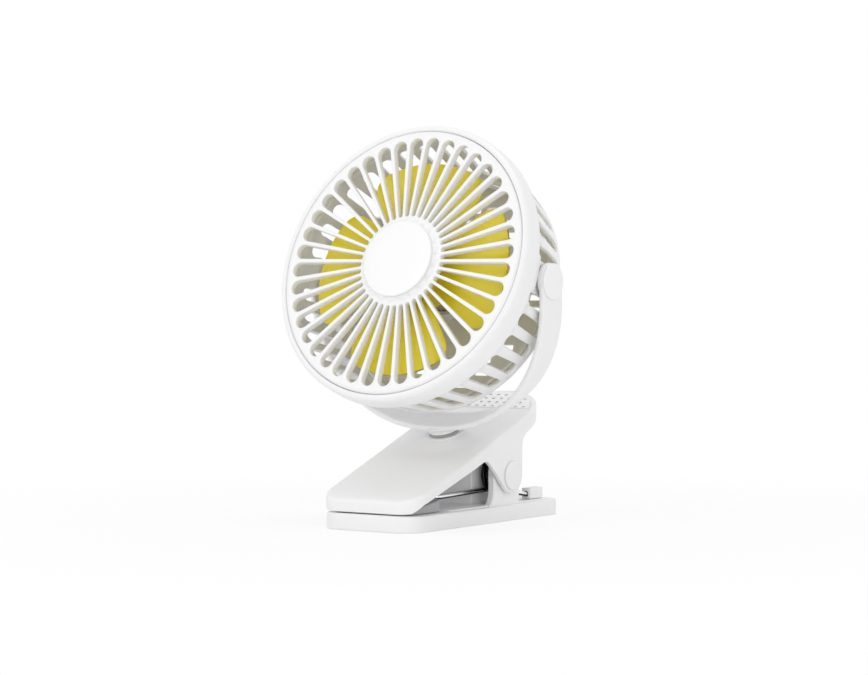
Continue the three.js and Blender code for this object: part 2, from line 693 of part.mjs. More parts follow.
function jawShell() {
  const outer = solid(extrudeX(jawSide(), -JAW_HALF_WIDTH, JAW_HALF_WIDTH)).intersect(
    solid(extrudeZ(jawPlan(0), 0, PIVOT_HEIGHT, 10)),
  );
  const roof = JAW_WALL / Math.cos(JAW_SLOPE);
  const end = JAW_END_Y + JAW_HALF_WIDTH;
  const hollowSide = polygon([
    [JAW_FRONT, 0],
    [end, 0],
    [end, jawTop(end) - roof],
    [JAW_FRONT, jawTop(JAW_FRONT) - roof],
  ]);
  const hollow = solid(extrudeX(hollowSide, -JAW_HALF_WIDTH, JAW_HALF_WIDTH)).intersect(
    solid(extrudeZ(jawPlan(JAW_WALL), -1, PIVOT_HEIGHT, 10)),
  );
  const neck = onSlope(NECK_Y);
  const bossProfile = [
    [0, -1],
    [BOSS_RADIUS + BOSS_SLANT, -1],
    [BOSS_RADIUS, BOSS_HEIGHT],
    [0, BOSS_HEIGHT],
  ];
  const boss = solid(moved(turned(bossProfile, COVER_ROUND), neck));
  const boltHole = solid(moved(barZ(BOLT_RADIUS + GAP, -3 * JAW_WALL, 2 * BOSS_HEIGHT), neck));
  const lidSeat = onSlope(JAW_END_Y);
  const trayOutline = lidOutline(TRAY_INSET - TRAY_WALL);
  const tray = solid(moved(extrudeZ(trayOutline, -TRAY_DEPTH, -1, 8), lidSeat));
  const trayFloor = -TRAY_DEPTH + TRAY_WALL;
  const trayHollow = solid(moved(extrudeZ(lidOutline(TRAY_INSET), trayFloor, LID_RAISE, 8), lidSeat));
  const rebate = solid(
    moved(extrudeZ(lidOutline(-GAP), LID_RAISE - LID_THICK - GAP, 3 * LID_RAISE, 8), lidSeat),
  );
  const lugHoles = solid(
    barX(AXLE_RADIUS + GAP, -2 * JAW_HALF_WIDTH, 2 * JAW_HALF_WIDTH, HINGE_Y, HINGE_Z),
  );
  const scoop = join(cut(outer, hollow), boss, tray, springHook());
  return cut(scoop, boltHole, rebate, trayHollow, lugHoles);
}

// A bracket under the roof whose foot lies beneath the bridge of the spring.
function springHook() {
  const web = FRONT_LEG_Y - WIRE_RADIUS - GAP;
  const under = FRONT_LEG_Z - WIRE_RADIUS - GAP;
  const side = polygon([
    [web - HOOK_WALL, jawTop(web) - JAW_WALL],
    [web - HOOK_WALL, under - HOOK_WALL],
    [FRONT_LEG_Y + 2 * HOOK_WALL, under - HOOK_WALL],
    [FRONT_LEG_Y + 2 * HOOK_WALL, under],
    [web, under],
    [web, jawTop(web) - JAW_WALL],
  ]);
  return solid(extrudeX(side, -HOOK_HALF_WIDTH, HOOK_HALF_WIDTH));
}

function jawPad() {
  const front = JAW_FRONT + JAW_WALL + 2 * GAP;
  const rear = FRONT_LEG_Y - WIRE_RADIUS - 2 * GAP - HOOK_WALL;
  const roof = JAW_WALL / Math.cos(JAW_SLOPE) + GAP;
  const side = polygon([
    [front, jawTop(front) - roof - JAW_PAD_THICK],
    [rear, jawTop(rear) - roof - JAW_PAD_THICK],
    [rear, jawTop(rear) - roof],
    [front, jawTop(front) - roof],
  ]);
  return solid(extrudeX(side, -JAW_HALF_WIDTH, JAW_HALF_WIDTH)).intersect(
    solid(extrudeZ(jawPlan(JAW_WALL + GAP), -1, PIVOT_HEIGHT, 6)),
  );
}

function hingeCap(side) {
  const face = (JAW_HALF_WIDTH + CAP_PROUD) * side;
  const foot = (JAW_HALF_WIDTH + GAP) * side;
  const ends = [foot, face].sort((a, b) => a - b);
  return solid(barX(CAP_RADIUS, ...ends, HINGE_Y, HINGE_Z, MEDIUM_ROUND));
}

function scentLid() {
  const plate = solid(extrudeZ(lidOutline(0), LID_RAISE - LID_THICK, LID_RAISE, 8));
  const holes = [];
  const columns = Math.ceil(LID_RADIUS / HOLE_PITCH);
  for (let y = LID_FRONT + HOLE_FRONT_MARGIN; y < LID_RADIUS; y += HOLE_PITCH) {
    for (let column = -columns; column < columns; column += 1) {
      const x = (column + 0.5) * HOLE_PITCH;
      if (Math.hypot(x, y) < LID_RADIUS - HOLE_SIDE_MARGIN) holes.push(shift(x, y, 0));
    }
  }
  const drill = barZ(HOLE_RADIUS, LID_RAISE - 2 * LID_THICK, 2 * LID_RAISE, HOLE_ROUND);
  const drilled = cut(plate, ...holes.map((place) => solid(moved(drill, place))));
  return drilled.transform(onSlope(JAW_END_Y).toArray());
}

const scentPad = () => {
  const floor = -TRAY_DEPTH + TRAY_WALL + GAP;
  const outline = lidOutline(TRAY_INSET + GAP);
  return solid(moved(extrudeZ(outline, floor, floor + SCENT_PAD_THICK, 6), onSlope(JAW_END_Y)));
};

// ---------------------------------------------------------------- fork
// A point of the fork's middle line, and the directions of its width and its thickness.
function forkSection(angle, thickness) {
  const reach = FORK_REACH - thickness;
  const span = FORK_HALF_SPAN - thickness;
  const power = 2 / FORK_SQUARENESS;
  const across = Math.sign(Math.cos(angle)) * Math.abs(Math.cos(angle)) ** power * span;
  const down = Math.abs(Math.sin(angle)) ** power * reach;
  const twist = FORK_LEAN + (JAW_SLOPE - FORK_LEAN) * Math.sin(angle) ** 2;
  const width = new THREE.Vector3(0, Math.cos(twist), Math.sin(twist));
  const point = pivot().addScaledVector(forkDown(), down).add(new THREE.Vector3(across, 0, 0));
  return { point, width };
}

function forkStrap() {
  const edge = FORK_EDGE;
  const half = FORK_HALF_WIDTH;
  const rings = [];
  for (let i = 0; i <= FORK_STEPS; i += 1) {
    const angle = (i / FORK_STEPS) * Math.PI;
    const outside = forkSection(angle, 0);
    const outsideEdge = forkSection(angle, edge);
    const insideEdge = forkSection(angle, FORK_THICK - edge);
    const inside = forkSection(angle, FORK_THICK);
    const corner = ({ point, width }, offset) => point.clone().addScaledVector(width, offset);
    rings.push([
      corner(outside, -half + edge),
      corner(outside, half - edge),
      corner(outsideEdge, half),
      corner(insideEdge, half),
      corner(inside, half - edge),
      corner(inside, -half + edge),
      corner(insideEdge, -half),
      corner(outsideEdge, -half),
    ]);
  }
  return solid(loft(rings));
}

function forkArmEnd(side) {
  const ends = [FORK_HALF_SPAN - FORK_THICK, FORK_HALF_SPAN].map((x) => x * side);
  const [low, high] = ends.sort((a, b) => a - b);
  return solid(barX(FORK_HALF_WIDTH, low, high, 0, PIVOT_HEIGHT, MEDIUM_ROUND));
}

// Heights above the jaw's sloping top: the foot of the neck, and the two ends of its nut.
const neckFoot = () => BOSS_HEIGHT + WASHER_THICK + 2 * GAP;
const nutEnds = () => {
  const low = neckFoot() + SWIVEL_NUT_RISE;
  return [low, low + BOLT_RADIUS];
};

function fork() {
  const place = onSlope(NECK_Y);
  const neckLow = neckFoot();
  const neckTop = NECK_HEIGHT + FORK_THICK / 2;
  const post = solid(moved(barZ(NECK_RADIUS, neckLow, neckTop, MEDIUM_ROUND), place));
  const [nutLow, nutHigh] = nutEnds();
  const boltHole = solid(moved(barZ(BOLT_RADIUS + GAP, 0, nutHigh + 2 * GAP), place));
  const nutPocket = solid(moved(barZ(2 * BOLT_RADIUS + GAP, nutLow - GAP, nutHigh + GAP, 6), place));
  const holes = [-1, 1].flatMap((side) => {
    const seat = FORK_HALF_SPAN - PIVOT_CAP_DEPTH;
    const inner = FORK_HALF_SPAN - 2 * FORK_THICK;
    const outer = FORK_HALF_SPAN + FORK_THICK;
    const through = [inner * side, outer * side].sort((a, b) => a - b);
    const recess = [seat * side, outer * side].sort((a, b) => a - b);
    return [
      solid(barX(PIVOT_SCREW_RADIUS + GAP, ...through, 0, PIVOT_HEIGHT)),
      solid(barX(PIVOT_HEAD_RADIUS + GAP, ...recess, 0, PIVOT_HEIGHT)),
    ];
  });
  const strap = join(forkStrap(), forkArmEnd(1), forkArmEnd(-1), post);
  return cut(strap, boltHole, nutPocket, ...holes);
}

const boltHeadTop = () => -JAW_WALL - SPRING_WASHER_THICK - 2 * GAP;

// The bolt comes from below, through the jaw's roof, into the nut held in the neck.
function swivelBolt() {
  const top = boltHeadTop();
  const tip = nutEnds()[1] + GAP;
  const shank = solid(barZ(BOLT_RADIUS, top - BOLT_HEAD_THICK / 2, tip));
  const head = solid(barZ(BOLT_HEAD_RADIUS, top - BOLT_HEAD_THICK, top));
  return join(shank, head).transform(onSlope(NECK_Y).toArray());
}

const swivelWasher = () => {
  const low = BOSS_HEIGHT + GAP;
  const disc = ring(BOLT_RADIUS + GAP, NECK_RADIUS, low, low + WASHER_THICK, MEDIUM_ROUND);
  return solid(moved(disc, onSlope(NECK_Y)));
};

const springWasher = () => {
  const top = -JAW_WALL - GAP;
  const low = top - SPRING_WASHER_THICK;
  const disc = ring(BOLT_RADIUS + GAP, 2 * BOLT_RADIUS, low, top, SMALL_ROUND);
  return solid(moved(disc, onSlope(NECK_Y)));
};

function swivelNut() {
  const [low, high] = nutEnds();
  const hexagon = solid(barZ(2 * BOLT_RADIUS, low, high, 6));
  const bore = solid(barZ(BOLT_RADIUS + GAP, low - 1, high + 1));
  return cut(hexagon, bore).transform(onSlope(NECK_Y).toArray());
}

const drumFlat = () => FORK_HALF_SPAN - FORK_THICK - FRICTION_THICK - 2 * GAP;

function frictionWasher(side) {
  const near = drumFlat() + GAP;
  const ends = [near * side, (near + FRICTION_THICK) * side].sort((a, b) => a - b);
  const disc = solid(barX(FRICTION_RADIUS, ...ends, 0, PIVOT_HEIGHT, MEDIUM_ROUND));
  const bore = [0, 2 * FORK_HALF_SPAN * side].sort((a, b) => a - b);
  return cut(disc, solid(barX(PIVOT_SCREW_RADIUS + GAP, ...bore, 0, PIVOT_HEIGHT)));
}

function pivotScrew(side) {
  const seat = FORK_HALF_SPAN - PIVOT_CAP_DEPTH + GAP;
  const headTop = FORK_HALF_SPAN - GAP / 2;
  const tip = drumFlat() - PIVOT_BOSS_LENGTH + 2 * GAP;
  const shankEnds = [tip * side, headTop * side].sort((a, b) => a - b);
  const headEnds = [seat * side, headTop * side].sort((a, b) => a - b);
  return join(
    solid(barX(PIVOT_SCREW_RADIUS, ...shankEnds, 0, PIVOT_HEIGHT)),
    solid(barX(PIVOT_HEAD_RADIUS, ...headEnds, 0, PIVOT_HEIGHT)),
  );
}

function pivotCap(side) {
  const foot = FORK_HALF_SPAN + GAP / 2;
  const face = FORK_HALF_SPAN + PIVOT_CAP_PROUD;
  const profile = [
    [0, foot],
    [PIVOT_CAP_RADIUS, foot],
    [PIVOT_CAP_RADIUS, (foot + face) / 2],
    [PIVOT_CAP_RADIUS - PIVOT_CAP_EDGE, face],
    [0, face],
  ];
  const turn = new THREE.Matrix4().makeRotationY((Math.PI / 2) * side);
  return solid(moved(turned(profile, MEDIUM_ROUND), turn, shift(0, 0, PIVOT_HEIGHT)));
}

// ---------------------------------------------------------------- head, along its own axis
function drumRim() {
  const ledge = GRILLE_SKIRT - GAP;
  const ledgeRadius = GRILLE_RADIUS - GRILLE_SKIRT_WALL;
  return closed([
    [RIM_INNER, RIM_FRONT],
    [HEAD_RADIUS - RIM_EDGE / 2, RIM_FRONT],
    [HEAD_RADIUS, RIM_FRONT - RIM_EDGE],
    [HEAD_RADIUS, BAND_REAR],
    [CONE_FRONT_RADIUS, CONE_FRONT],
    [CONE_FRONT_RADIUS - DRUM_WALL, CONE_FRONT],
    [ledgeRadius, ledge - DRUM_WALL],
    [ledgeRadius, ledge],
    [RIM_INNER, ledge],
  ]);
}

function drumCone() {
  const joint = BAND_REAR + 1;
  return closed([
    [CONE_FRONT_RADIUS, joint],
    [CONE_FRONT_RADIUS, CONE_FRONT],
    [CONE_REAR_RADIUS, CONE_REAR],
    [CONE_REAR_RADIUS - DRUM_WALL, DRUM_REAR],
    [DRUM_REAR_INNER, DRUM_REAR],
    [DRUM_REAR_INNER, DRUM_REAR + DRUM_WALL],
    [CONE_REAR_RADIUS - DRUM_WALL - GAP, CONE_REAR],
    [CONE_FRONT_RADIUS - DRUM_WALL, CONE_FRONT],
    [CONE_FRONT_RADIUS - DRUM_WALL, joint],
  ]);
}

// A slot through the drum's side, rounded at both ends, pointing along +X.
function drumSlotTool() {
  const outline = new THREE.Shape();
  const half = DRUM_SLOT_HALF;
  outline.absarc(0, DRUM_SLOT_FRONT - half, half, 0, Math.PI);
  outline.absarc(0, DRUM_SLOT_REAR + half, half, Math.PI, 2 * Math.PI);
  const length = 2 * (CONE_FRONT_RADIUS - CONE_REAR_RADIUS + 2 * DRUM_WALL);
  const middle = (CONE_FRONT_RADIUS + CONE_REAR_RADIUS) / 2;
  return extrudeX(outline, middle - length / 2, middle + length / 2, 2);
}

function drumShell() {
  const flat = drumFlat();
  const deep = 2 * HEAD_RADIUS;
  const tall = HEAD_RADIUS;
  const flats = [-1, 1].map((side) => {
    const ends = [flat * side, deep * side].sort((a, b) => a - b);
    return solid(boxOf(...ends, -tall, tall, 2 * DRUM_REAR, FLAT_FRONT));
  });
  const inside = flat - DRUM_WALL;
  const halfSide = Math.PI / CONE_SIDES;
  const cone = solid(turned(drumCone(), CONE_SIDES, halfSide));
  // The wall behind each flat, kept inside the drum's outline, and the pivot boss on it.
  const coreProfile = [[0, DRUM_REAR], ...drumCone().slice(0, 4).reverse(), [0, BAND_REAR + 1]];
  const core = solid(turned(coreProfile, CONE_SIDES, halfSide));
  const walls = [-1, 1].map((side) => {
    const ends = [inside * side, flat * side].sort((a, b) => a - b);
    return solid(boxOf(...ends, -tall, tall, CONE_REAR, FLAT_FRONT + DRUM_WALL)).intersect(core);
  });
  const bosses = [-1, 1].map((side) => {
    const ends = [(flat - PIVOT_BOSS_LENGTH) * side, flat * side].sort((a, b) => a - b);
    return solid(barX(PIVOT_BOSS_RADIUS, ...ends, 0, 0, MEDIUM_ROUND));
  });
  const bores = [-1, 1].map((side) => {
    const ends = [(flat - PIVOT_BOSS_LENGTH - 1) * side, deep * side].sort((a, b) => a - b);
    return solid(barX(PIVOT_SCREW_RADIUS + GAP, ...ends, 0, 0));
  });
  const tool = drumSlotTool();
  const slots = [];
  for (let i = 0; i < DRUM_SLOTS; i += 1) {
    const opposite = i % (DRUM_SLOTS / 2) === 0;
    if (!opposite) slots.push(solid(moved(tool, rotateZ((i / DRUM_SLOTS) * 2 * Math.PI))));
  }
  const open = cut(join(cut(cone, ...flats), ...walls), ...slots);
  return cut(join(open, solid(turned(drumRim())), ...bosses), ...bores);
}

function grilleSlot() {
  const centre = SLOT_OUTER_RADIUS - SLOT_OUTER_HALF;
  const hole = new THREE.Path();
  hole.absarc(centre, 0, SLOT_OUTER_HALF, -Math.PI / 2, Math.PI / 2);
  hole.lineTo(SLOT_INNER_RADIUS + SLOT_INNER_HALF, SLOT_INNER_HALF);
  hole.lineTo(SLOT_INNER_RADIUS, 0);
  hole.lineTo(SLOT_INNER_RADIUS + SLOT_INNER_HALF, -SLOT_INNER_HALF);
  hole.closePath();
  return hole.getPoints(2);
}

function flutedRing(radius, z) {
  return Array.from({ length: 2 * HUB_FLUTES }, (_, i) => {
    const angle = (i / HUB_FLUTES) * Math.PI;
    const reach = radius - (i % 2) * HUB_FLUTE;
    return new THREE.Vector3(reach * Math.cos(angle), reach * Math.sin(angle), z);
  });
}

function frontGrille() {
  const face = new THREE.Shape();
  face.absarc(0, 0, GRILLE_RADIUS, 0, 2 * Math.PI);
  const slot = grilleSlot();
  for (let i = 0; i < GRILLE_SLOTS; i += 1) {
    const turn = ((i + 0.5) / GRILLE_SLOTS) * 2 * Math.PI;
    const centre = new THREE.Vector2(0, 0);
    const points = slot.map((p) => p.clone().rotateAround(centre, turn));
    face.holes.push(new THREE.Path(points));
  }
  const low = GRILLE_FACE - GRILLE_THICK;
  const plate = solid(extrudeZ(face, low, GRILLE_FACE, ROUND / 2));
  const skirtInner = GRILLE_RADIUS - GRILLE_SKIRT_WALL;
  const skirt = solid(ring(skirtInner, GRILLE_RADIUS, GRILLE_SKIRT, low + 0.5));
  const hubRings = [
    flutedRing(HUB_FOOT_RADIUS, low),
    flutedRing(HUB_FOOT_RADIUS, GRILLE_FACE),
    flutedRing(HUB_TOP_RADIUS, HUB_TOP),
  ];
  const hub = solid(loft(hubRings));
  const hollowRadius = HUB_TOP_RADIUS - HUB_FLUTE - HUB_WALL;
  const hubHollow = solid(barZ(hollowRadius, low - 1, HUB_TOP - HUB_WALL, MEDIUM_ROUND));
  return cut(join(plate, skirt, hub), hubHollow);
}

const centreCap = () => {
  const low = HUB_TOP + GAP;
  const top = low + CENTRE_CAP_THICK;
  const edge = CENTRE_CAP_EDGE;
  const profile = [
    [0, low],
    [CENTRE_CAP_RADIUS, low],
    [CENTRE_CAP_RADIUS, top - edge],
    [CENTRE_CAP_RADIUS - edge, top],
    [0, top],
  ];
  return solid(turned(profile));
};

const bladeShare = (radius) => (radius - BLADE_ROOT) / (BLADE_TIP - BLADE_ROOT);

// Half the angle that a blade covers at a radius, with its outer corners rounded.
function bladeHalfAngle(radius) {
  const share = bladeShare(radius);
  const full = BLADE_ROOT_HALF_ANGLE + (BLADE_HALF_ANGLE - BLADE_ROOT_HALF_ANGLE) * share;
  const past = Math.max(radius - (BLADE_TIP - BLADE_CORNER), 0);
  const lost = BLADE_CORNER - Math.sqrt(BLADE_CORNER ** 2 - past ** 2);
  return full - lost / radius;
}

// The radii at which a blade is drawn: evenly up to its rounded corners, then round them.
function bladeRadii() {
  const cornerStart = BLADE_TIP - BLADE_CORNER;
  const radii = [];
  for (let i = 0; i < BLADE_INNER_STEPS; i += 1) {
    radii.push(BLADE_ROOT + ((cornerStart - BLADE_ROOT) * i) / BLADE_INNER_STEPS);
  }
  for (let i = 0; i <= BLADE_CORNER_STEPS; i += 1) {
    radii.push(cornerStart + BLADE_CORNER * Math.sin((i / BLADE_CORNER_STEPS) * (Math.PI / 2)));
  }
  return radii;
}

// Seen from the front, the anticlockwise edge of a blade lies nearer the grille and the
// clockwise edge lies deeper, so the fan blows forwards when it turns clockwise.
function blade() {
  const rings = bladeRadii().map((radius) => {
    const half = bladeHalfAngle(radius);
    const middle = BLADE_START + BLADE_SWEEP * bladeShare(radius);
    const edge = (share, offset) => {
      const angle = middle + half * share;
      const z = BLADE_MIDDLE + (BLADE_RISE * half * share) / BLADE_HALF_ANGLE + offset;
      return new THREE.Vector3(radius * Math.cos(angle), radius * Math.sin(angle), z);
    };
    const shares = Array.from({ length: BLADE_STRIPS + 1 }, (_, i) => (2 * i) / BLADE_STRIPS - 1);
    const front = shares.map((share) => edge(share, BLADE_THICK / 2));
    const back = shares.map((share) => edge(share, -BLADE_THICK / 2));
    return [...front, ...back.reverse()];
  });
  return blanket(rings);
}

// Like loft, for flat rings whose first half lies over the second: the ends are strips.
function blanket(rings) {
  const sides = rings[0].length;
  const geometry = loft(rings);
  const all = Array.from(geometry.index.array);
  const index = all.slice(0, (rings.length - 1) * sides * 6);
  const last = (rings.length - 1) * sides;
  for (let j = 0; j + 1 < sides / 2; j += 1) {
    const [a, b, c, d] = [j, j + 1, sides - 2 - j, sides - 1 - j];
    index.push(a, c, b, a, d, c);
    index.push(last + a, last + b, last + c, last + a, last + c, last + d);
  }
  geometry.setIndex(index);
  return geometry;
}

function impeller() {
  const hubProfile = [
    [0, IMPELLER_FRONT],
    [0, IMPELLER_FRONT - IMPELLER_HUB_WALL],
    [IMPELLER_HUB_RADIUS - IMPELLER_HUB_WALL, IMPELLER_FRONT - IMPELLER_HUB_WALL],
    [IMPELLER_HUB_RADIUS - IMPELLER_HUB_WALL, IMPELLER_REAR],
    [IMPELLER_HUB_RADIUS, IMPELLER_REAR],
    [IMPELLER_HUB_RADIUS, IMPELLER_FRONT - IMPELLER_HUB_EDGE],
    [IMPELLER_HUB_RADIUS - IMPELLER_HUB_EDGE, IMPELLER_FRONT],
    [0, IMPELLER_FRONT],
  ];
  const hub = solid(turned(hubProfile, MEDIUM_ROUND));
  const boss = solid(barZ(2.4 * IMPELLER_HUB_WALL, IMPELLER_REAR - 1, IMPELLER_FRONT - 1));
  const bore = solid(barZ(SHAFT_RADIUS + GAP, -1, 2 * IMPELLER_FRONT));
  const shape = blade();
  const blades = [];
  for (let i = 0; i < BLADES; i += 1) {
    blades.push(solid(moved(shape, rotateZ((i / BLADES) * 2 * Math.PI))));
  }
  const insideRadius = IMPELLER_HUB_RADIUS - IMPELLER_HUB_WALL / 2;
  const inside = solid(barZ(insideRadius, -BLADE_TIP, BLADE_TIP, MEDIUM_ROUND));
  const trimmed = blades.map((one) => cut(one, inside));
  return cut(join(hub, boss, ...trimmed), bore);
}

const motorShaft = () =>
  solid(barZ(SHAFT_RADIUS, MOTOR_FRONT - MOTOR_CLIP_DEPTH, IMPELLER_FRONT + NUT_THICK));

const impellerNut = () => {
  const low = IMPELLER_FRONT + GAP;
  return solid(ring(SHAFT_RADIUS + GAP, NUT_RADIUS, low, low + NUT_THICK, SMALL_ROUND));
};

const plateLow = () => COVER_FACE + COVER_WALL + MOUNT_BOSS_HEIGHT + GAP;
const plateTop = () => plateLow() + MOUNT_PLATE_THICK;

function motorCan() {
  const low = plateTop() + GAP;
  const profile = [
    [0, low],
    [MOTOR_RADIUS, low],
    [MOTOR_RADIUS, MOTOR_FRONT - MOTOR_EDGE],
    [MOTOR_RADIUS - MOTOR_EDGE, MOTOR_FRONT],
    [0, MOTOR_FRONT],
  ];
  const body = turned(profile, MEDIUM_ROUND);
  const bore = barZ(SHAFT_RADIUS + GAP, MOTOR_FRONT - MOTOR_CLIP_DEPTH - 1, 1);
  return cut(solid(body), solid(bore));
}

const motorBushing = () => {
  const low = MOTOR_FRONT + GAP;
  return solid(ring(SHAFT_RADIUS + GAP, BUSHING_RADIUS, low, low + BUSHING_LENGTH, SMALL_ROUND));
};

const mountPlaces = () =>
  [0, 1, 2].map((i) => {
    const angle = Math.PI / 2 + (i * 2 * Math.PI) / 3;
    return shift(MOUNT_SCREW_CIRCLE * Math.cos(angle), MOUNT_SCREW_CIRCLE * Math.sin(angle), 0);
  });

function motorMount() {
  const plate = solid(barZ(MOUNT_PLATE_RADIUS, plateLow(), plateTop(), MEDIUM_ROUND));
  const clipInner = MOTOR_RADIUS + GAP;
  const clipTop = plateTop() + MOTOR_CLIP_DEPTH;
  const clipOuter = clipInner + MOTOR_CLIP_WALL;
  const clip = solid(ring(clipInner, clipOuter, plateTop() - 1, clipTop, MEDIUM_ROUND));
  const holes = mountPlaces().map((place) =>
    solid(moved(barZ(SCREW_RADIUS + GAP, 2 * COVER_FACE, 0), place)),
  );
  return cut(join(plate, clip), ...holes);
}

function mountScrew(place) {
  const low = plateTop() + GAP;
  const head = solid(barZ(SCREW_HEAD_RADIUS, low, low + SCREW_HEAD_THICK));
  const tip = low - SCREW_GRIP - MOUNT_PLATE_THICK;
  const shank = solid(barZ(SCREW_RADIUS, tip, low + SCREW_HEAD_THICK / 2));
  return join(head, shank).transform(place.toArray());
}

// ---------------------------------------------------------------- rear cover and its pod
const boardLow = () => POD_BACK + POD_WALL + BOARD_HEIGHT_IN_POD;
const boardTop = () => boardLow() + BOARD_THICK;

function coverVents() {
  const vents = [];
  const rows = Math.ceil(COVER_FACE_RADIUS / VENT_PITCH_Y);
  const columns = Math.ceil(COVER_FACE_RADIUS / VENT_PITCH_X);
  for (let row = -rows; row <= rows; row += 1) {
    for (let column = -columns; column <= columns; column += 1) {
      const x = column * VENT_PITCH_X;
      const y = row * VENT_PITCH_Y;
      const far = Math.hypot(Math.abs(x) + VENT_WIDTH / 2, Math.abs(y) + VENT_HEIGHT / 2);
      const dx = Math.max(Math.abs(x) - VENT_WIDTH / 2, 0);
      const dy = Math.max(Math.abs(y) - VENT_HEIGHT / 2, 0);
      const near = Math.hypot(dx, dy);
      const free = near > MOUNT_PLATE_RADIUS + VENT_MARGIN && far < COVER_FACE_RADIUS - VENT_MARGIN;
      if (free) vents.push([x, y]);
    }
  }
  return vents.map(([x, y]) => {
    const sides = [x - VENT_WIDTH / 2, x + VENT_WIDTH / 2, y - VENT_HEIGHT / 2, y + VENT_HEIGHT / 2];
    return solid(boxOf(...sides, COVER_FACE - 1, COVER_FACE + 2 * COVER_WALL));
  });
}

function rearCover() {
  const wall = COVER_WALL;
  const lip = DRUM_REAR + DRUM_WALL;
  const face = COVER_FACE;
  const pod = POD_RADIUS;
  const back = POD_BACK;
  const inner = COVER_RADIUS - wall;
  const outline = [
    [0, back],
    [pod - POD_EDGE, back],
    [pod - POD_EDGE / 4, back + POD_EDGE / 3],
    [pod, back + POD_EDGE],
    [pod, face],
    [COVER_FACE_RADIUS, face],
    [COVER_RADIUS - COVER_DISH / 3, face + COVER_DISH / 2],
    [COVER_RADIUS, face + COVER_DISH],
    [COVER_RADIUS, lip],
    [inner, lip],
    [inner, face + COVER_DISH + wall / 2],
    [COVER_FACE_RADIUS - wall / 2, face + wall],
    [pod - POD_WALL, face + wall],
    [pod - POD_WALL, back + POD_WALL],
    [0, back + POD_WALL],
  ];
  const shell = solid(turned(outline, COVER_ROUND));
  const bosses = mountPlaces().map((place) =>
    solid(moved(barZ(MOUNT_BOSS_RADIUS, face + wall / 2, face + wall + MOUNT_BOSS_HEIGHT), place)),
  );
  const screwHoles = mountPlaces().map((place) =>
    solid(moved(barZ(SCREW_RADIUS + GAP, face + wall / 2, 0), place)),
  );
  const post = barZ(BOARD_POST_RADIUS, back + POD_WALL / 2, boardLow() - GAP, HOLE_ROUND * 2);
  const posts = boardPosts().map(([x, y]) => solid(moved(post, shift(x, y, 0))));
  const buttonHole = solid(barZ(BUTTON_RADIUS + GAP, 2 * back, back + 2 * POD_WALL, MEDIUM_ROUND));
  const lensHole = solid(
    moved(barZ(LENS_RADIUS + GAP, 2 * back, back + 2 * POD_WALL), shift(0, LENS_Y, 0)),
  );
  const portHalf = PORT_WIDTH / 2 + GAP;
  const portTop = boardTop() + PORT_TALL + 2 * GAP;
  const portHole = solid(
    boxOf(-portHalf, portHalf, -2 * pod, -pod + 3 * POD_WALL, boardTop(), portTop),
  );
  const body = cut(join(shell, ...bosses), ...coverVents(), ...screwHoles);
  return cut(join(body, ...posts), buttonHole, lensHole, portHole);
}

const boardPosts = () => {
  const x = BOARD_WIDTH / 2 - POST_MARGIN;
  const y = BOARD_HEIGHT / 2 - POST_MARGIN;
  return [[x, y], [-x, y], [x, -y], [-x, -y]];
};

// A rectangle with rounded corners, centred on the axis.
const plateOutline = (width, height, corner) =>
  roundedRect(-width / 2, width / 2, -height / 2, height / 2, corner);

const circuitBoard = () =>
  solid(extrudeZ(plateOutline(BOARD_WIDTH, BOARD_HEIGHT, BOARD_CORNER), boardLow(), boardTop(), 3));

function battery() {
  const low = boardTop() + GAP;
  const outline = plateOutline(BATTERY_WIDTH, BATTERY_HEIGHT, BATTERY_CORNER);
  return solid(extrudeZ(outline, low, low + BATTERY_THICK));
}

const batteryFoam = () => {
  const low = boardTop() + 2 * GAP + BATTERY_THICK;
  const x = BATTERY_WIDTH / 2 - FOAM_MARGIN;
  const y = BATTERY_HEIGHT / 2 - FOAM_MARGIN;
  return solid(boxOf(-x, x, -y, y, low, plateLow() - GAP));
};

function powerButton() {
  const inner = POD_BACK + POD_WALL + GAP;
  const flange = inner + BUTTON_FLANGE_THICK;
  const stemTop = boardLow() - GAP - SWITCH_THICK - BUTTON_TRAVEL - GAP;
  const face = POD_BACK - BUTTON_PROUD;
  const edge = BUTTON_PROUD / 2;
  const profile = [
    [0, face],
    [BUTTON_RADIUS - edge, face],
    [BUTTON_RADIUS, face + edge],
    [BUTTON_RADIUS, inner],
    [BUTTON_RADIUS + BUTTON_FLANGE, inner],
    [BUTTON_RADIUS + BUTTON_FLANGE, flange],
    [BUTTON_STEM, flange],
    [BUTTON_STEM, stemTop],
    [0, stemTop],
  ];
  return solid(turned(profile, MEDIUM_ROUND));
}

function tactSwitch() {
  const half = SWITCH_SIDE / 2;
  const top = boardLow() - GAP;
  return solid(boxOf(-half, half, -half, half, top - SWITCH_THICK, top));
}

function chargePort() {
  const half = PORT_WIDTH / 2;
  const low = boardTop() + GAP;
  const high = low + PORT_TALL;
  const front = -POD_RADIUS + PORT_INSET;
  const mouthEnd = front + PORT_DEPTH;
  const inner = half - PORT_WALL;
  const shell = solid(boxOf(-half, half, front, mouthEnd + half, low, high));
  const mouth = boxOf(-inner, inner, front - 1, mouthEnd, low + PORT_WALL, high - PORT_WALL);
  return cut(shell, solid(mouth));
}

const indicatorLens = () =>
  solid(moved(barZ(LENS_RADIUS, POD_BACK - LENS_PROUD, POD_BACK + POD_WALL), shift(0, LENS_Y, 0)));

// ---------------------------------------------------------------- assembly
const clipFan = new THREE.Group();

clipFan.add(
  named('base_shell', baseShell(), whitePlastic),
  named('base_sole', baseSole(), softPad),
  named('base_grip_pad', basePad(), softPad),
  named('spring_seat_right', springSeat(1), whitePlastic),
  named('spring_seat_left', springSeat(-1), whitePlastic),
  named('torsion_spring', torsionSpring(), steel),
  named('clip_axle', axle(), steel),
);

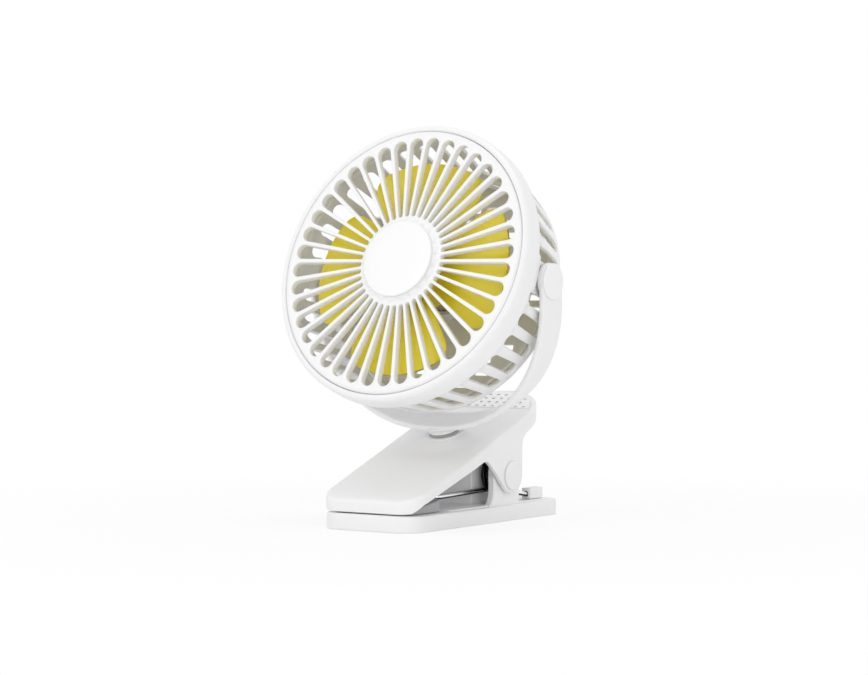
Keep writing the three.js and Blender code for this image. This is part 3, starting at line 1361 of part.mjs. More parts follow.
clipFan.add(
  named('upper_jaw', jawShell(), whitePlastic),
  named('jaw_grip_pad', jawPad(), softPad),
  named('hinge_cap_right', hingeCap(1), whitePlastic),
  named('hinge_cap_left', hingeCap(-1), whitePlastic),
  named('scent_lid', scentLid(), warmWhite),
  named('scent_pad', scentPad(), felt),
);

clipFan.add(
  named('fork', fork(), whitePlastic),
  named('swivel_bolt', swivelBolt(), steel),
  named('swivel_washer', swivelWasher(), softPad),
  named('swivel_spring_washer', springWasher(), steel),
  named('swivel_nut', swivelNut(), steel),
  named('friction_washer_right', frictionWasher(1), softPad),
  named('friction_washer_left', frictionWasher(-1), softPad),
  named('pivot_screw_right', pivotScrew(1), steel),
  named('pivot_screw_left', pivotScrew(-1), steel),
  named('pivot_cap_right', pivotCap(1), whitePlastic),
  named('pivot_cap_left', pivotCap(-1), whitePlastic),
);

const head = new THREE.Group();
head.position.set(0, 0, PIVOT_HEIGHT);
head.rotation.x = Math.PI / 2 - HEAD_TILT;
head.add(
  named('drum', drumShell(), whitePlastic),
  named('front_grille', frontGrille(), warmWhite),
  named('centre_cap', centreCap(), warmWhite),
  named('rear_cover', rearCover(), greyPlastic),
  named('motor_mount', motorMount(), greyPlastic),
  named('motor_can', motorCan(), steel),
  named('motor_bushing', motorBushing(), brass),
  named('battery', battery(), cellBlue),
  named('battery_foam', batteryFoam(), felt),
  named('circuit_board', circuitBoard(), boardGreen),
  named('tact_switch', tactSwitch(), darkPlastic),
  named('charge_port', chargePort(), steel),
  named('indicator_lens', indicatorLens(), lensPlastic),
  named('power_button', powerButton(), warmWhite),
  named('impeller', impeller(), yellowPlastic),
  named('motor_shaft', motorShaft(), steel),
  named('impeller_nut', impellerNut(), steel),
);
mountPlaces().forEach((place, i) => {
  head.add(named(`mount_screw_${i + 1}`, mountScrew(place), steel));
});
clipFan.add(head);
clipFan.updateMatrixWorld(true);

export default clipFan;
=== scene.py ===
# %% [markdown]
# # A clip fan with a tilting head
# The real object is a small battery fan. A round head of white moulded plastic tilts in a
# strap-like fork, the fork swivels on the upper jaw of a clip, and a steel spring holds the
# jaw down on a long foot. Most of it is smooth plastic, so the lesson is about making clean
# shells with even rounded edges, and about plastic that isn't one flat colour.

import math

import bmesh
import bpy
import numpy as np
from mathutils import Matrix, Vector


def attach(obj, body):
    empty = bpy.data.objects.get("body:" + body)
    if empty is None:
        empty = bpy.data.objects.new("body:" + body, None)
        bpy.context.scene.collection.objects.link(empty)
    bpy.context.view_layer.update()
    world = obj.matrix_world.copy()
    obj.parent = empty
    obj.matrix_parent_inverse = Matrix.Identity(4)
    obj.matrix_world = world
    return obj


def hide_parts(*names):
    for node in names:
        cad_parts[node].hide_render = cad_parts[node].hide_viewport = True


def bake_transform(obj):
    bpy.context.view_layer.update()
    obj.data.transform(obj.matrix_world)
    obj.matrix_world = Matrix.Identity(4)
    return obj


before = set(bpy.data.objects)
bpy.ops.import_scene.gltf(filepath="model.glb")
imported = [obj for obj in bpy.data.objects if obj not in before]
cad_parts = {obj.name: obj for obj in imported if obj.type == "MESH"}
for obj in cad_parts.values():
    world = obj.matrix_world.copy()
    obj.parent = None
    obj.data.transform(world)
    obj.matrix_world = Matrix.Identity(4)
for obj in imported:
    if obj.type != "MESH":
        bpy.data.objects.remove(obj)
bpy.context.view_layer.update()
print("nodes in the frame:", len(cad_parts))

# %% [markdown]
# ## Camera and light
# The fan was photographed with a long lens from its right front and hardly above level. The
# camera could be aimed with a constraint; two turns are simpler here, because the view is
# nearly level and has no roll.

# %% Camera
MM = 0.001
VIEW_AZIMUTH = math.radians(34.3)
VIEW_DROP = math.radians(1.5)
VIEW_PLACE = (0.8427, -1.2339, 0.1367)
VIEW_LENS = 117.6
camera = bpy.data.objects.new("camera", bpy.data.cameras.new("camera"))
camera.data.lens = VIEW_LENS
camera.data.clip_start = 0.05
camera.rotation_euler = (math.pi / 2 - VIEW_DROP, 0, VIEW_AZIMUTH)
camera.location = VIEW_PLACE
bpy.context.scene.collection.objects.link(camera)
bpy.context.scene.camera = camera
bpy.context.scene.view_settings.view_transform = "Standard"
print("camera at", tuple(round(x, 3) for x in camera.location))


# %% Node helper
def add_node(tree, kind, inputs=None, **settings):
    """A shader node with its settings and input values; a socket given as a value is linked."""
    node = tree.nodes.new(kind)
    for key, value in settings.items():
        setattr(node, key, value)
    for key, value in (inputs or {}).items():
        if isinstance(value, bpy.types.NodeSocket):
            tree.links.new(value, node.inputs[key])
        else:
            node.inputs[key].default_value = value
    return node


def grey(level):
    return (level, level, level, 1)


# %% [markdown]
# The studio is white all round. The world lights the fan evenly, and rays that come straight
# from the camera, a mirror or glass see plain white. The floor does the same but keeps part
# of its own shading, so the fan's shadow stays on it.

# %% World and floor
LIGHT_LEVEL = 0.77
world = bpy.data.worlds.new("white_room")
bpy.context.scene.world = world
world.use_nodes = True
tree = world.node_tree
tree.nodes.clear()


def seen_directly(tree):
    """1 for rays from the camera, from a glossy surface or through glass."""
    path = add_node(tree, "ShaderNodeLightPath")
    first = add_node(tree, "ShaderNodeMath", {0: path.outputs["Is Camera Ray"],
                     1: path.outputs["Is Transmission Ray"]}, operation="MAXIMUM")
    return add_node(tree, "ShaderNodeMath", {0: first.outputs[0],
                    1: path.outputs["Is Glossy Ray"]}, operation="MAXIMUM").outputs[0]


even = add_node(tree, "ShaderNodeBackground", {"Color": grey(1), "Strength": LIGHT_LEVEL})
plain = add_node(tree, "ShaderNodeBackground", {"Color": grey(1), "Strength": 1.0})
both = add_node(tree, "ShaderNodeMixShader", {0: seen_directly(tree), 1: even.outputs[0],
                2: plain.outputs[0]})
add_node(tree, "ShaderNodeOutputWorld", {"Surface": both.outputs[0]})

floor_mesh = bpy.data.meshes.new("floor")
FLOOR = 4.0
corners = [(-FLOOR, -FLOOR, 0), (FLOOR, -FLOOR, 0), (FLOOR, FLOOR, 0), (-FLOOR, FLOOR, 0)]
floor_mesh.from_pydata(corners, [], [(0, 1, 2, 3)])
floor = bpy.data.objects.new("floor", floor_mesh)
floor.location.z = -0.0002
bpy.context.scene.collection.objects.link(floor)
floor_paint = bpy.data.materials.new("pale_floor")
floor_paint.use_nodes = True
tree = floor_paint.node_tree
tree.nodes.clear()
matt = add_node(tree, "ShaderNodeBsdfDiffuse", {"Color": grey(0.93)})
glow = add_node(tree, "ShaderNodeEmission", {"Color": grey(1), "Strength": 1.0})
place = add_node(tree, "ShaderNodeTexCoord").outputs["Object"]
away = add_node(tree, "ShaderNodeVectorMath", {0: place}, operation="LENGTH")
fade = add_node(tree, "ShaderNodeMapRange", {"Value": away.outputs["Value"], "From Min": 0.12,
                "From Max": 0.45, "To Min": 0.82, "To Max": 1.0}, interpolation_type="SMOOTHSTEP")
share = add_node(tree, "ShaderNodeMath", {0: seen_directly(tree), 1: fade.outputs[0]},
                 operation="MULTIPLY")
mixed = add_node(tree, "ShaderNodeMixShader", {0: share.outputs[0], 1: matt.outputs[0],
                 2: glow.outputs[0]})
add_node(tree, "ShaderNodeOutputMaterial", {"Surface": mixed.outputs[0]})
floor_mesh.materials.append(floor_paint)


# %% Lamps
def lamp(name, place, target, size, power):
    """A square soft box at place, facing target."""
    light = bpy.data.lights.new(name, "AREA")
    light.energy = power
    light.size = size
    box = bpy.data.objects.new(name, light)
    box.location = place
    box.rotation_euler = (Vector(target) - Vector(place)).to_track_quat("-Z", "Y").to_euler()
    bpy.context.scene.collection.objects.link(box)
    return box


lamp("soft_box_left", (-0.55, -1.15, 0.75), (0, 0, 0.1), 0.8, 3.2)
lamp("soft_box_top", (0.1, 0.2, 1.3), (0, 0, 0.1), 0.8, 2.5)
lamp("low_fill", (0.95, -0.75, 0.10), (0, 0, 0.06), 0.5, 2.4)
print("lamps: a key from the left front, one from above and a low fill from the right front")

# %% [markdown]
# ## Finishes
# Moulded plastic shows three things up close: a very fine grain from the mould's spark
# eroded surface, a slow change of gloss where the melt flowed, and slightly yellower or
# cooler patches. Image textures could carry that; noise in the object's own space does it
# without any seam and at a true scale.


# %% Plastic
def new_paint(name):
    """An empty node material, its tree and the piece's own coordinates."""
    paint = bpy.data.materials.new(name)
    paint.use_nodes = True
    paint.node_tree.nodes.clear()
    place = add_node(paint.node_tree, "ShaderNodeTexCoord").outputs["Object"]
    return paint, paint.node_tree, place


def mixed_colour(tree, share, first, second):
    """The colour that lies between two others."""
    return add_node(tree, "ShaderNodeMix", {"Factor": share, "A": first, "B": second},
                    data_type="RGBA").outputs["Result"]


def surface(paint, height, strength, distance, inputs):
    """Finishes a material: one principled surface with bumps, and the output."""
    tree = paint.node_tree
    bump = add_node(tree, "ShaderNodeBump", {"Height": height, "Strength": strength,
                    "Distance": distance})
    skin = add_node(tree, "ShaderNodeBsdfPrincipled",
                    {"Normal": bump.outputs["Normal"], **inputs})
    add_node(tree, "ShaderNodeOutputMaterial", {"Surface": skin.outputs["BSDF"]})
    return paint


def plastic(name, dark, light, gloss, grain=0.02, see_through=0.0):
    """White, grey or coloured moulded plastic with mottled colour, uneven gloss and grain."""
    paint, tree, place = new_paint(name)
    slow = add_node(tree, "ShaderNodeTexNoise", {"Vector": place, "Scale": 38.0, "Detail": 3.0})
    fine = add_node(tree, "ShaderNodeTexNoise", {"Vector": place, "Scale": 2600.0, "Detail": 2.0})
    shine = add_node(tree, "ShaderNodeMapRange", {"Value": slow.outputs["Fac"], "From Min": 0.3,
                     "From Max": 0.7, "To Min": gloss - 0.04, "To Max": gloss + 0.05})
    return surface(paint, fine.outputs["Fac"], grain, 0.0002, {
        "Base Color": mixed_colour(tree, slow.outputs["Fac"], dark, light),
        "Roughness": shine.outputs["Result"], "Transmission Weight": see_through, "IOR": 1.5})


shell_white = plastic("shell_white", (0.87, 0.87, 0.875, 1), grey(0.90), 0.38)
clip_white = plastic("clip_white", (0.86, 0.86, 0.865, 1), grey(0.89), 0.42)
cap_white = plastic("cap_white", grey(0.89), grey(0.92), 0.32)
inner_grey = plastic("inner_grey", (0.80, 0.80, 0.81, 1), (0.86, 0.86, 0.87, 1), 0.55, 0.05)
blade_yellow = plastic("blade_yellow", (0.80, 0.66, 0.012, 1), (0.86, 0.72, 0.02, 1), 0.34)
soft_grey = plastic("soft_grey", (0.40, 0.40, 0.41, 1), (0.47, 0.47, 0.48, 1), 0.75, 0.2)
dark_plastic = plastic("dark_plastic", grey(0.02), (0.035, 0.035, 0.04, 1), 0.5)
cell_blue = plastic("cell_blue", (0.05, 0.12, 0.32, 1), (0.07, 0.15, 0.37, 1), 0.4)
# painted shade: the washers are dark grey, not white, so the neck's washer stands in for the shadow
# under the fork's strap
washer_painted_shade = plastic("washer_painted_shade", grey(0.36), grey(0.42), 0.5)
clear_lens = plastic("clear_lens", (0.80, 0.88, 0.92, 1), (0.86, 0.92, 0.96, 1), 0.12, 0.0, 0.7)
board_green = plastic("board_green", (0.01, 0.09, 0.05, 1), (0.02, 0.13, 0.07, 1), 0.4, 0.05)
print("plastics:", len(bpy.data.materials) - 1)


# %% [markdown]
# Drawn wire and turned steel have fine lines along the way they were drawn. The spring's wire
# gets a painted dark reflection along its top and underside, so its flank looks brighter, and
# its coils get painted shade that is nearly black, because they sit in the dark under the jaw.
# A second material for that painted shade would show a seam on the coils; one material that
# looks at the distance from the hinge doesn't.

# %% Metal and felt
def metal(name, dark, light, roughness, stretch=(1, 1, 1)):
    """Bare or plated metal with fine marks drawn out along one direction."""
    paint, tree, place = new_paint(name)
    drawn = add_node(tree, "ShaderNodeMapping", {"Vector": place, "Scale": stretch})
    marks = add_node(tree, "ShaderNodeTexNoise", {"Vector": drawn.outputs[0], "Scale": 1500.0,
                     "Detail": 3.0})
    patches = add_node(tree, "ShaderNodeTexNoise", {"Vector": place, "Scale": 90.0})
    rough = add_node(tree, "ShaderNodeMapRange", {"Value": marks.outputs["Fac"], "From Min": 0.3,
                     "From Max": 0.7, "To Min": roughness * 0.7, "To Max": roughness * 1.3})
    return surface(paint, marks.outputs["Fac"], 0.06, 0.0001, {
        "Base Color": mixed_colour(tree, patches.outputs["Fac"], dark, light),
        "Roughness": rough.outputs["Result"], "Metallic": 1.0})


screw_steel = metal("screw_steel", (0.42, 0.42, 0.43, 1), (0.55, 0.55, 0.56, 1), 0.3)
spring_steel = metal("spring_steel", (0.80, 0.80, 0.81, 1), (0.92, 0.92, 0.93, 1), 0.16,
                     (1, 0.05, 1))


def paint_shade(paint, share, dark):
    """Mixes painted shade, a dark tone, into a metal's colour where share is 1."""
    tree = paint.node_tree
    shader = next(n for n in tree.nodes if n.type == "BSDF_PRINCIPLED")
    colour = shader.inputs["Base Color"].links[0].from_socket
    tree.links.new(mixed_colour(tree, share, colour, dark), shader.inputs["Base Color"])


def ramp(tree, value, start, end):
    """0 below start, 1 above end, with a soft step between."""
    return add_node(tree, "ShaderNodeMapRange", {"Value": value, "From Min": start,
                    "From Max": end}, interpolation_type="SMOOTHSTEP").outputs["Result"]


# The wire's top and underside get a painted dark reflection, and its coils round the hinge get
# painted shade.
STEEL_SHADE = (0.16, 0.16, 0.165, 1)
PAINTED_UNDERSIDE_REFLECTION = (0.03, 0.03, 0.032, 1)
PAINTED_COIL_SHADE = (0.02, 0.02, 0.022, 1)
COIL_SHADE_FULL, COIL_SHADE_NONE = 0.0096, 0.0112
tree = spring_steel.node_tree
facing = add_node(tree, "ShaderNodeNewGeometry").outputs["Normal"]
upward = add_node(tree, "ShaderNodeSeparateXYZ", {0: facing}).outputs["Z"]
# painted dark reflection along the top of the wire
paint_shade(spring_steel, ramp(tree, upward, 0.72, 0.96), STEEL_SHADE)
# painted dark reflection along the underside of the wire
paint_shade(spring_steel, ramp(tree, upward, -0.05, -0.45), PAINTED_UNDERSIDE_REFLECTION)
# painted shade on the coils, by distance from the hinge axis
place = add_node(tree, "ShaderNodeTexCoord").outputs["Object"]
flat_place = add_node(tree, "ShaderNodeVectorMath", {0: place, 1: (0, 1, 1)}, operation="MULTIPLY")
from_hinge = add_node(tree, "ShaderNodeVectorMath", {0: flat_place.outputs[0],
                      1: (0, 0.030, 0.0242)}, operation="DISTANCE")
coil_shade_share = ramp(tree, from_hinge.outputs["Value"], COIL_SHADE_NONE, COIL_SHADE_FULL)
paint_shade(spring_steel, coil_shade_share, PAINTED_COIL_SHADE)
brass = metal("brass", (0.55, 0.38, 0.14, 1), (0.68, 0.48, 0.20, 1), 0.3)


def felt(name, dark, light):
    """Pressed fibre: a soft uneven surface with a little sheen at its edges."""
    paint, tree, place = new_paint(name)
    fibre = add_node(tree, "ShaderNodeTexNoise", {"Vector": place, "Scale": 1200.0,
                     "Detail": 6.0, "Distortion": 1.5})
    return surface(paint, fibre.outputs["Fac"], 0.5, 0.0004, {
        "Base Color": mixed_colour(tree, fibre.outputs["Fac"], dark, light),
        "Roughness": 0.95, "Sheen Weight": 0.3})


white_felt = felt("white_felt", (0.30, 0.29, 0.27, 1), (0.42, 0.41, 0.38, 1))
print("finishes made:", len(bpy.data.materials))

# %% [markdown]
# ## Tools for shells
# Each plastic piece is a shell of even thickness. Primitive cylinders and cubes would give
# hard edges and crossing faces. Here a piece is drawn as rings of points and skinned, so the
# edge roundings are part of the drawing, and only pieces that cross each other are joined
# with a Boolean modifier.

# %% Mesh helpers
SMOOTH_BELOW = math.radians(38)


def mesh_piece(name, points, faces):
    """A mesh object from points in millimetres, with doubled points merged."""
    mesh = bpy.data.meshes.new(name)
    mesh.from_pydata([tuple(float(c) * MM for c in p) for p in points], [], faces)
    piece = bpy.data.objects.new(name, mesh)
    bpy.context.scene.collection.objects.link(piece)
    apply_modifier(piece, "WELD", merge_threshold=0.000004)
    outward(piece)
    return piece


def apply_modifier(piece, kind, **settings):
    """Adds one modifier to the piece and keeps its result as the piece's own mesh."""
    modifier = piece.modifiers.new(kind.lower(), kind)
    for key, value in settings.items():
        setattr(modifier, key, value)
    graph = bpy.context.evaluated_depsgraph_get()
    made = bpy.data.meshes.new_from_object(piece.evaluated_get(graph))
    piece.modifiers.clear()
    piece.data = made


def outward(piece):
    """Turns every face outwards."""
    work = bmesh.new()
    work.from_mesh(piece.data)
    bmesh.ops.recalc_face_normals(work, faces=work.faces)
    work.to_mesh(piece.data)
    work.free()


def combine(piece, tools, operation):
    """Joins or cuts a closed piece with other closed pieces, which are then removed."""
    for tool in tools:
        apply_modifier(piece, "BOOLEAN", object=tool, operation=operation, solver="MANIFOLD")
        bpy.data.objects.remove(tool)
    return piece


def soften(piece, width, segments=3, angle=50):
    """Rounds the edges that are sharper than angle."""
    apply_modifier(piece, "BEVEL", width=width * MM, segments=segments, limit_method="ANGLE",
                   angle_limit=math.radians(angle), use_clamp_overlap=False,
                   miter_outer="MITER_ARC")
    return piece


def settle(piece, body, paint, slot_name, *hidden):
    """Paints the piece, shades its curved faces smoothly and fixes it to a body."""
    piece.data.materials.clear()
    piece.data.materials.append(paint)
    piece.data.polygons.foreach_set("use_smooth", [True] * len(piece.data.polygons))
    piece.data.set_sharp_from_angle(angle=SMOOTH_BELOW)
    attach(piece, body)
    if hidden:
        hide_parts(*hidden)
    print(f"{piece.name}: {len(piece.data.polygons)} faces on {body}")
    return piece


# %% Rings and outlines
def skin(rings, close=False, caps=True):
    """Points and faces of a skin over rings of equally many points."""
    count = len(rings[0])
    points = [p for ring in rings for p in ring]
    faces = []
    steps = len(rings) if close else len(rings) - 1
    for i in range(steps):
        a, b = i * count, ((i + 1) % len(rings)) * count
        for j in range(count):
            k = (j + 1) % count
            faces.append((a + j, a + k, b + k, b + j))
    if caps and not close:
        faces.append(tuple(range(count)))
        faces.append(tuple((len(rings) - 1) * count + j for j in range(count)))
    return points, faces


def lathe(profile, sides=160):
    """Rings of a turned profile of (radius, z); a profile that meets the axis is capped."""
    turn = np.arange(sides) * 2 * math.pi / sides
    return [np.c_[r * np.cos(turn), r * np.sin(turn), np.full(sides, z)] for r, z in profile]


def arc(x, y, radius, start, end, steps):
    """Points on an arc, angles in degrees."""
    turn = np.radians(np.linspace(start, end, steps + 1))
    return [(x + radius * math.cos(t), y + radius * math.sin(t)) for t in turn]


def rounded_box(x0, x1, y0, y1, radius, steps=6):
    """The outline of a rectangle with rounded corners, counter-clockwise."""
    return (arc(x1 - radius, y0 + radius, radius, -90, 0, steps)
            + arc(x1 - radius, y1 - radius, radius, 0, 90, steps)
            + arc(x0 + radius, y1 - radius, radius, 90, 180, steps)
            + arc(x0 + radius, y0 + radius, radius, 180, 270, steps))


def inset(outline, depth):
    """The outline moved inwards by depth, corner by corner."""
    p = np.array(outline, float)
    before, after = p - np.roll(p, 1, 0), np.roll(p, -1, 0) - p

    def inward(edge):
        unit = edge / np.maximum(np.linalg.norm(edge, axis=1), 1e-9)[:, None]
        return np.c_[-unit[:, 1], unit[:, 0]]

    a, b = inward(before), inward(after)
    mid = a + b
    mid = mid / np.maximum(np.linalg.norm(mid, axis=1), 1e-9)[:, None]
    reach = depth / np.maximum((mid * a).sum(1), 0.4)
    return p + mid * reach[:, None]


def quarter(radius, steps):
    """(inset, drop) pairs from the side of a rounded edge to its flat."""
    turn = [i / steps * math.pi / 2 for i in range(steps + 1)]
    return [(radius * (1 - math.cos(t)), radius * (1 - math.sin(t))) for t in turn]


def round_rim(radius, top, size, steps=4):
    """Profile points round the upper rim of a turned piece."""
    return [(radius - d, top - h) for d, h in quarter(size, steps)]


def prism(outline, low, high):
    """Rings of an upright prism over an outline."""
    return [np.c_[np.array(outline), np.full(len(outline), z)] for z in (low, high)]


def slab(outline, low, high, top=0.6, bottom=0.3, steps=4):
    """Rings of a plate with rounded upper and lower edges."""
    rings = []
    for depth, drop in reversed(quarter(bottom, steps)):
        rings.append(np.c_[inset(outline, depth), np.full(len(outline), low + drop)])
    for depth, drop in quarter(top, steps):
        rings.append(np.c_[inset(outline, depth), np.full(len(outline), high - drop)])
    return rings


def placed(rings, matrix):
    """Rings carried by a 4 x 4 matrix."""
    m = np.array(matrix)
    return [np.asarray(r) @ m[:3, :3].T + m[:3, 3] for r in rings]


def bar(start, end, radius, sides=32, edge=0.0):
    """A round bar between two points, as rings; edge rounds its far end."""
    start, end = Vector(start), Vector(end)
    turn = (end - start).to_track_quat("Z", "Y").to_matrix().to_4x4()
    length = (end - start).length
    profile = [(radius, 0.0)] + round_rim(radius, length, edge, 3)
    if edge == 0:
        profile = [(radius, 0.0), (radius, length)]
    return placed(lathe(profile, sides), Matrix.Translation(start) @ turn)


def solid(name, rings):
    return mesh_piece(name, *skin(rings))


def side_bars(name, x0, x1, y, z, radius, sides, edge=0.0):
    """Two round bars across the fan, mirrored, the right one first."""
    return [solid(name, bar((x0 * side, y, z), (x1 * side, y, z), radius, sides, edge))
            for side in (1, -1)]


def gather(name, parts):
    """One object from several separate closed skins, given as lists of rings."""
    points, faces = [], []
    for rings in parts:
        more_points, more_faces = skin(rings)
        start = len(points)
        points.extend(tuple(p) for p in more_points)
        faces.extend(tuple(start + i for i in face) for face in more_faces)
    return mesh_piece(name, points, faces)


def box_piece(name, x0, x1, y0, y1, z0, z1):
    return solid(name, prism([(x0, y0), (x1, y0), (x1, y1), (x0, y1)], z0, z1))


def quads(points, faces, a, b):
    """Adds a closed band of quads between two loops of equally many points."""
    start, n = len(points), len(a)
    points.extend([*a, *b])
    for j in range(n):
        k = (j + 1) % n
        faces.append((start + j, start + k, start + n + k, start + n + j))


# %% [markdown]
# ## The head's own frame
# The head is drawn along its own axis, with z pointing forwards, and then carried to the
# tilt axis of the fork and leaned back. This keeps every number in it simple.

# %% Head frame
PIVOT_HEIGHT = 127.4
HEAD_TILT = 20
HEAD = (Matrix.Translation((0, 0, PIVOT_HEIGHT))
        @ Matrix.Rotation(math.radians(90 - HEAD_TILT), 4, "X"))


def to_head(points):
    """Points of the head's own frame, carried to their place in the fan."""
    m = np.array(HEAD)
    return np.asarray(points, float) @ m[:3, :3].T + m[:3, 3]


# %% [markdown]
# ## Drum
# The drum is one moulding: a smooth band in front, then a cone with thirty-four long slots.
# Cutting slots with Booleans would leave thin slivers round every end. Instead each ten
# degrees of the cone is one patch, drawn as quads between the slot's outline and the patch's
# border, outside and inside, and the patches are welded together.

# %% Drum patches
RIM, LIP = 76.4, 72.6
CONE_FRONT, CONE_REAR = (74.3, 17.4), (67.7, -16.4)
WALL = 2.3
FLAT, STEP_LOW, STEP_HIGH = 69.3, 11.0, 12.1
SLOT_HALF, SLOT_LOW, SLOT_HIGH = 3.5, -10.9, 12.1
SLOT_ROWS = [SLOT_LOW, -5.5, 0, 5.5, STEP_LOW, SLOT_HIGH]
CAP_STEPS = 8
SCREW_BORE = 2.7


def cone_point(degrees, z, inner):
    """A point of the cone's outer or inner face, pressed flat beside the pivots."""
    share = (CONE_FRONT[1] - z) / (CONE_FRONT[1] - CONE_REAR[1])
    radius = CONE_FRONT[0] + (CONE_REAR[0] - CONE_FRONT[0]) * share - inner
    turn = math.radians(degrees)
    x, y = radius * math.cos(turn), radius * math.sin(turn)
    rise = min(max((z - STEP_LOW) / (STEP_HIGH - STEP_LOW), 0), 1)
    limit = FLAT - inner + rise * (RIM - FLAT)
    return (math.copysign(min(abs(x), limit), x), y, z)


def slot_loop(inner, centre):
    """The outline of one slot and, point for point, the border of its patch."""
    hole, border = [], []

    def add(t, z, degrees, edge_z):
        radius = math.hypot(*cone_point(60, z, inner)[:2])
        hole.append(cone_point(centre + math.degrees(math.asin(t / radius)), z, inner))
        border.append(cone_point(centre + degrees, edge_z, inner))

    for z in SLOT_ROWS:
        add(SLOT_HALF, z, 5, z)
    for end, rows, first, edge in ((SLOT_HIGH, SLOT_ROWS[::-1], 5, CONE_FRONT[1]),
                                   (SLOT_LOW, None, -5, CONE_REAR[1])):
        for k in range(1, CAP_STEPS):
            turn = math.pi * k / CAP_STEPS + (0 if first > 0 else math.pi)
            degrees = first - math.copysign(10, first) * (k - 1) / (CAP_STEPS - 2)
            add(SLOT_HALF * math.cos(turn), end + SLOT_HALF * math.sin(turn), degrees, edge)
        for z in rows or []:
            add(-SLOT_HALF, z, -5, z)
    return hole, border


def drum_mesh():
    points, faces = [], []
    columns = [5 - 10 * k / (CAP_STEPS - 2) for k in range(CAP_STEPS - 1)]
    rows = [CONE_REAR[1]] + SLOT_ROWS + [CONE_FRONT[1]]
    for i in range(36):
        outside, inside = slot_loop(0, 10 * i), slot_loop(WALL, 10 * i)
        if i % 18:
            for pair in (outside, inside, (outside[0], inside[0])):
                quads(points, faces, *pair)
            continue
        for inner in (0, WALL):
            start = len(points)
            points.extend(cone_point(10 * i + d, z, inner) for z in rows for d in columns)
            for r in range(len(rows) - 1):
                for c in range(len(columns) - 1):
                    a = start + r * len(columns) + c
                    faces.append((a, a + 1, a + 1 + len(columns), a + len(columns)))
    turns = [10 * i - d for i in range(36) for d in columns[:-1]]

    def ring(radius, z):
        return [(radius * math.cos(math.radians(t)), radius * math.sin(math.radians(t)), z)
                for t in turns]

    def cone_ring(z, inner):
        return [cone_point(t, z, inner) for t in turns]

    front = [cone_ring(CONE_FRONT[1], 0), ring(74.6, 17.8), ring(75.7, 18.2), ring(76.25, 18.9),
             ring(RIM, 20), ring(RIM, 24), ring(RIM, 27.4), ring(76.2, 28.9), ring(75.7, 30),
             ring(74.9, 30.8), ring(74.1, 31.15), ring(73.5, 31.15), ring(73.0, 30.8),
             ring(LIP, 30), ring(LIP, 23.3), ring(70.5, 23.3), ring(70.5, 21),
             cone_ring(CONE_FRONT[1], WALL)]
    rear = [cone_ring(CONE_REAR[1], 0), ring(67.2, -17.8), ring(66.3, -19), ring(65, -19.55),
            ring(63.6, -19.6), ring(62.7, -19.4), ring(62.6, -19), ring(62.6, -17.3),
            ring(64.6, -17.2), cone_ring(CONE_REAR[1], WALL)]
    for rings in (front, rear):
        for a, b in zip(rings, rings[1:]):
            quads(points, faces, a, b)
    return to_head(points), faces


drum = mesh_piece("drum_shell", *drum_mesh())
combine(drum, side_bars("pivot_boss", 58.3, 68.4, 0, PIVOT_HEIGHT, 6.5, 40), "UNION")
combine(drum, side_bars("pivot_bore", 57, 75, 0, PIVOT_HEIGHT, SCREW_BORE, 24), "DIFFERENCE")
soften(drum, 0.4, 2, 60)
settle(drum, "head", shell_white, "head_plastic", "drum")

# %% [markdown]
# ## Front grille
# Forty long slots fan out round the hub; what stays between them are slim spokes four
# millimetres deep. The same patch method is used, turned through ninety degrees: the slot's
# outline lies in the plane of the disc, and the border is a slice of nine degrees.

# %% Grille
FACE, BACK = 31.4, 27.4
SLOT_FAR, SLOT_FAR_HALF = 64.55, 3.95
SLOT_NEAR, SLOT_NEAR_HALF = 25.85, 1.25
DISC_FLAT, HUB_FOOT = 70.2, 23.7
HUB_BORE = 17.9
FLUTES = 20


def polar(radius, degrees, z):
    turn = math.radians(degrees)
    return (radius * math.cos(turn), radius * math.sin(turn), z)


def grille_loop(centre, z):
    """One grille slot and the border of its slice, point for point."""
    hole, border = [], []
    rows = [SLOT_NEAR, 32, 40, 48, 56, SLOT_FAR]
    c, s = math.cos(math.radians(centre)), math.sin(math.radians(centre))
    turn = np.array([[c, s], [-s, c]])

    def add(r, t, edge_r, degrees):
        hole.append((*(np.array([r, t]) @ turn), z))
        border.append(polar(edge_r, centre + degrees, z))

    def half(r):
        share = (r - SLOT_NEAR) / (SLOT_FAR - SLOT_NEAR)
        return SLOT_NEAR_HALF + (SLOT_FAR_HALF - SLOT_NEAR_HALF) * share

    for r in rows:
        add(r, half(r), r, 4.5)
    for k in range(1, 10):
        a = math.pi / 2 - math.pi * k / 10
        add(SLOT_FAR + SLOT_FAR_HALF * math.cos(a), SLOT_FAR_HALF * math.sin(a), DISC_FLAT,
            4.5 - 9 * (k - 1) / 8)
    for r in rows[::-1]:
        add(r, -half(r), r, -4.5)
    for k in range(1, 10):
        a = -math.pi / 2 - math.pi * k / 10
        add(SLOT_NEAR + SLOT_NEAR_HALF * math.cos(a), SLOT_NEAR_HALF * math.sin(a), HUB_FOOT,
            -4.5 + 9 * (k - 1) / 8)
    return hole, border


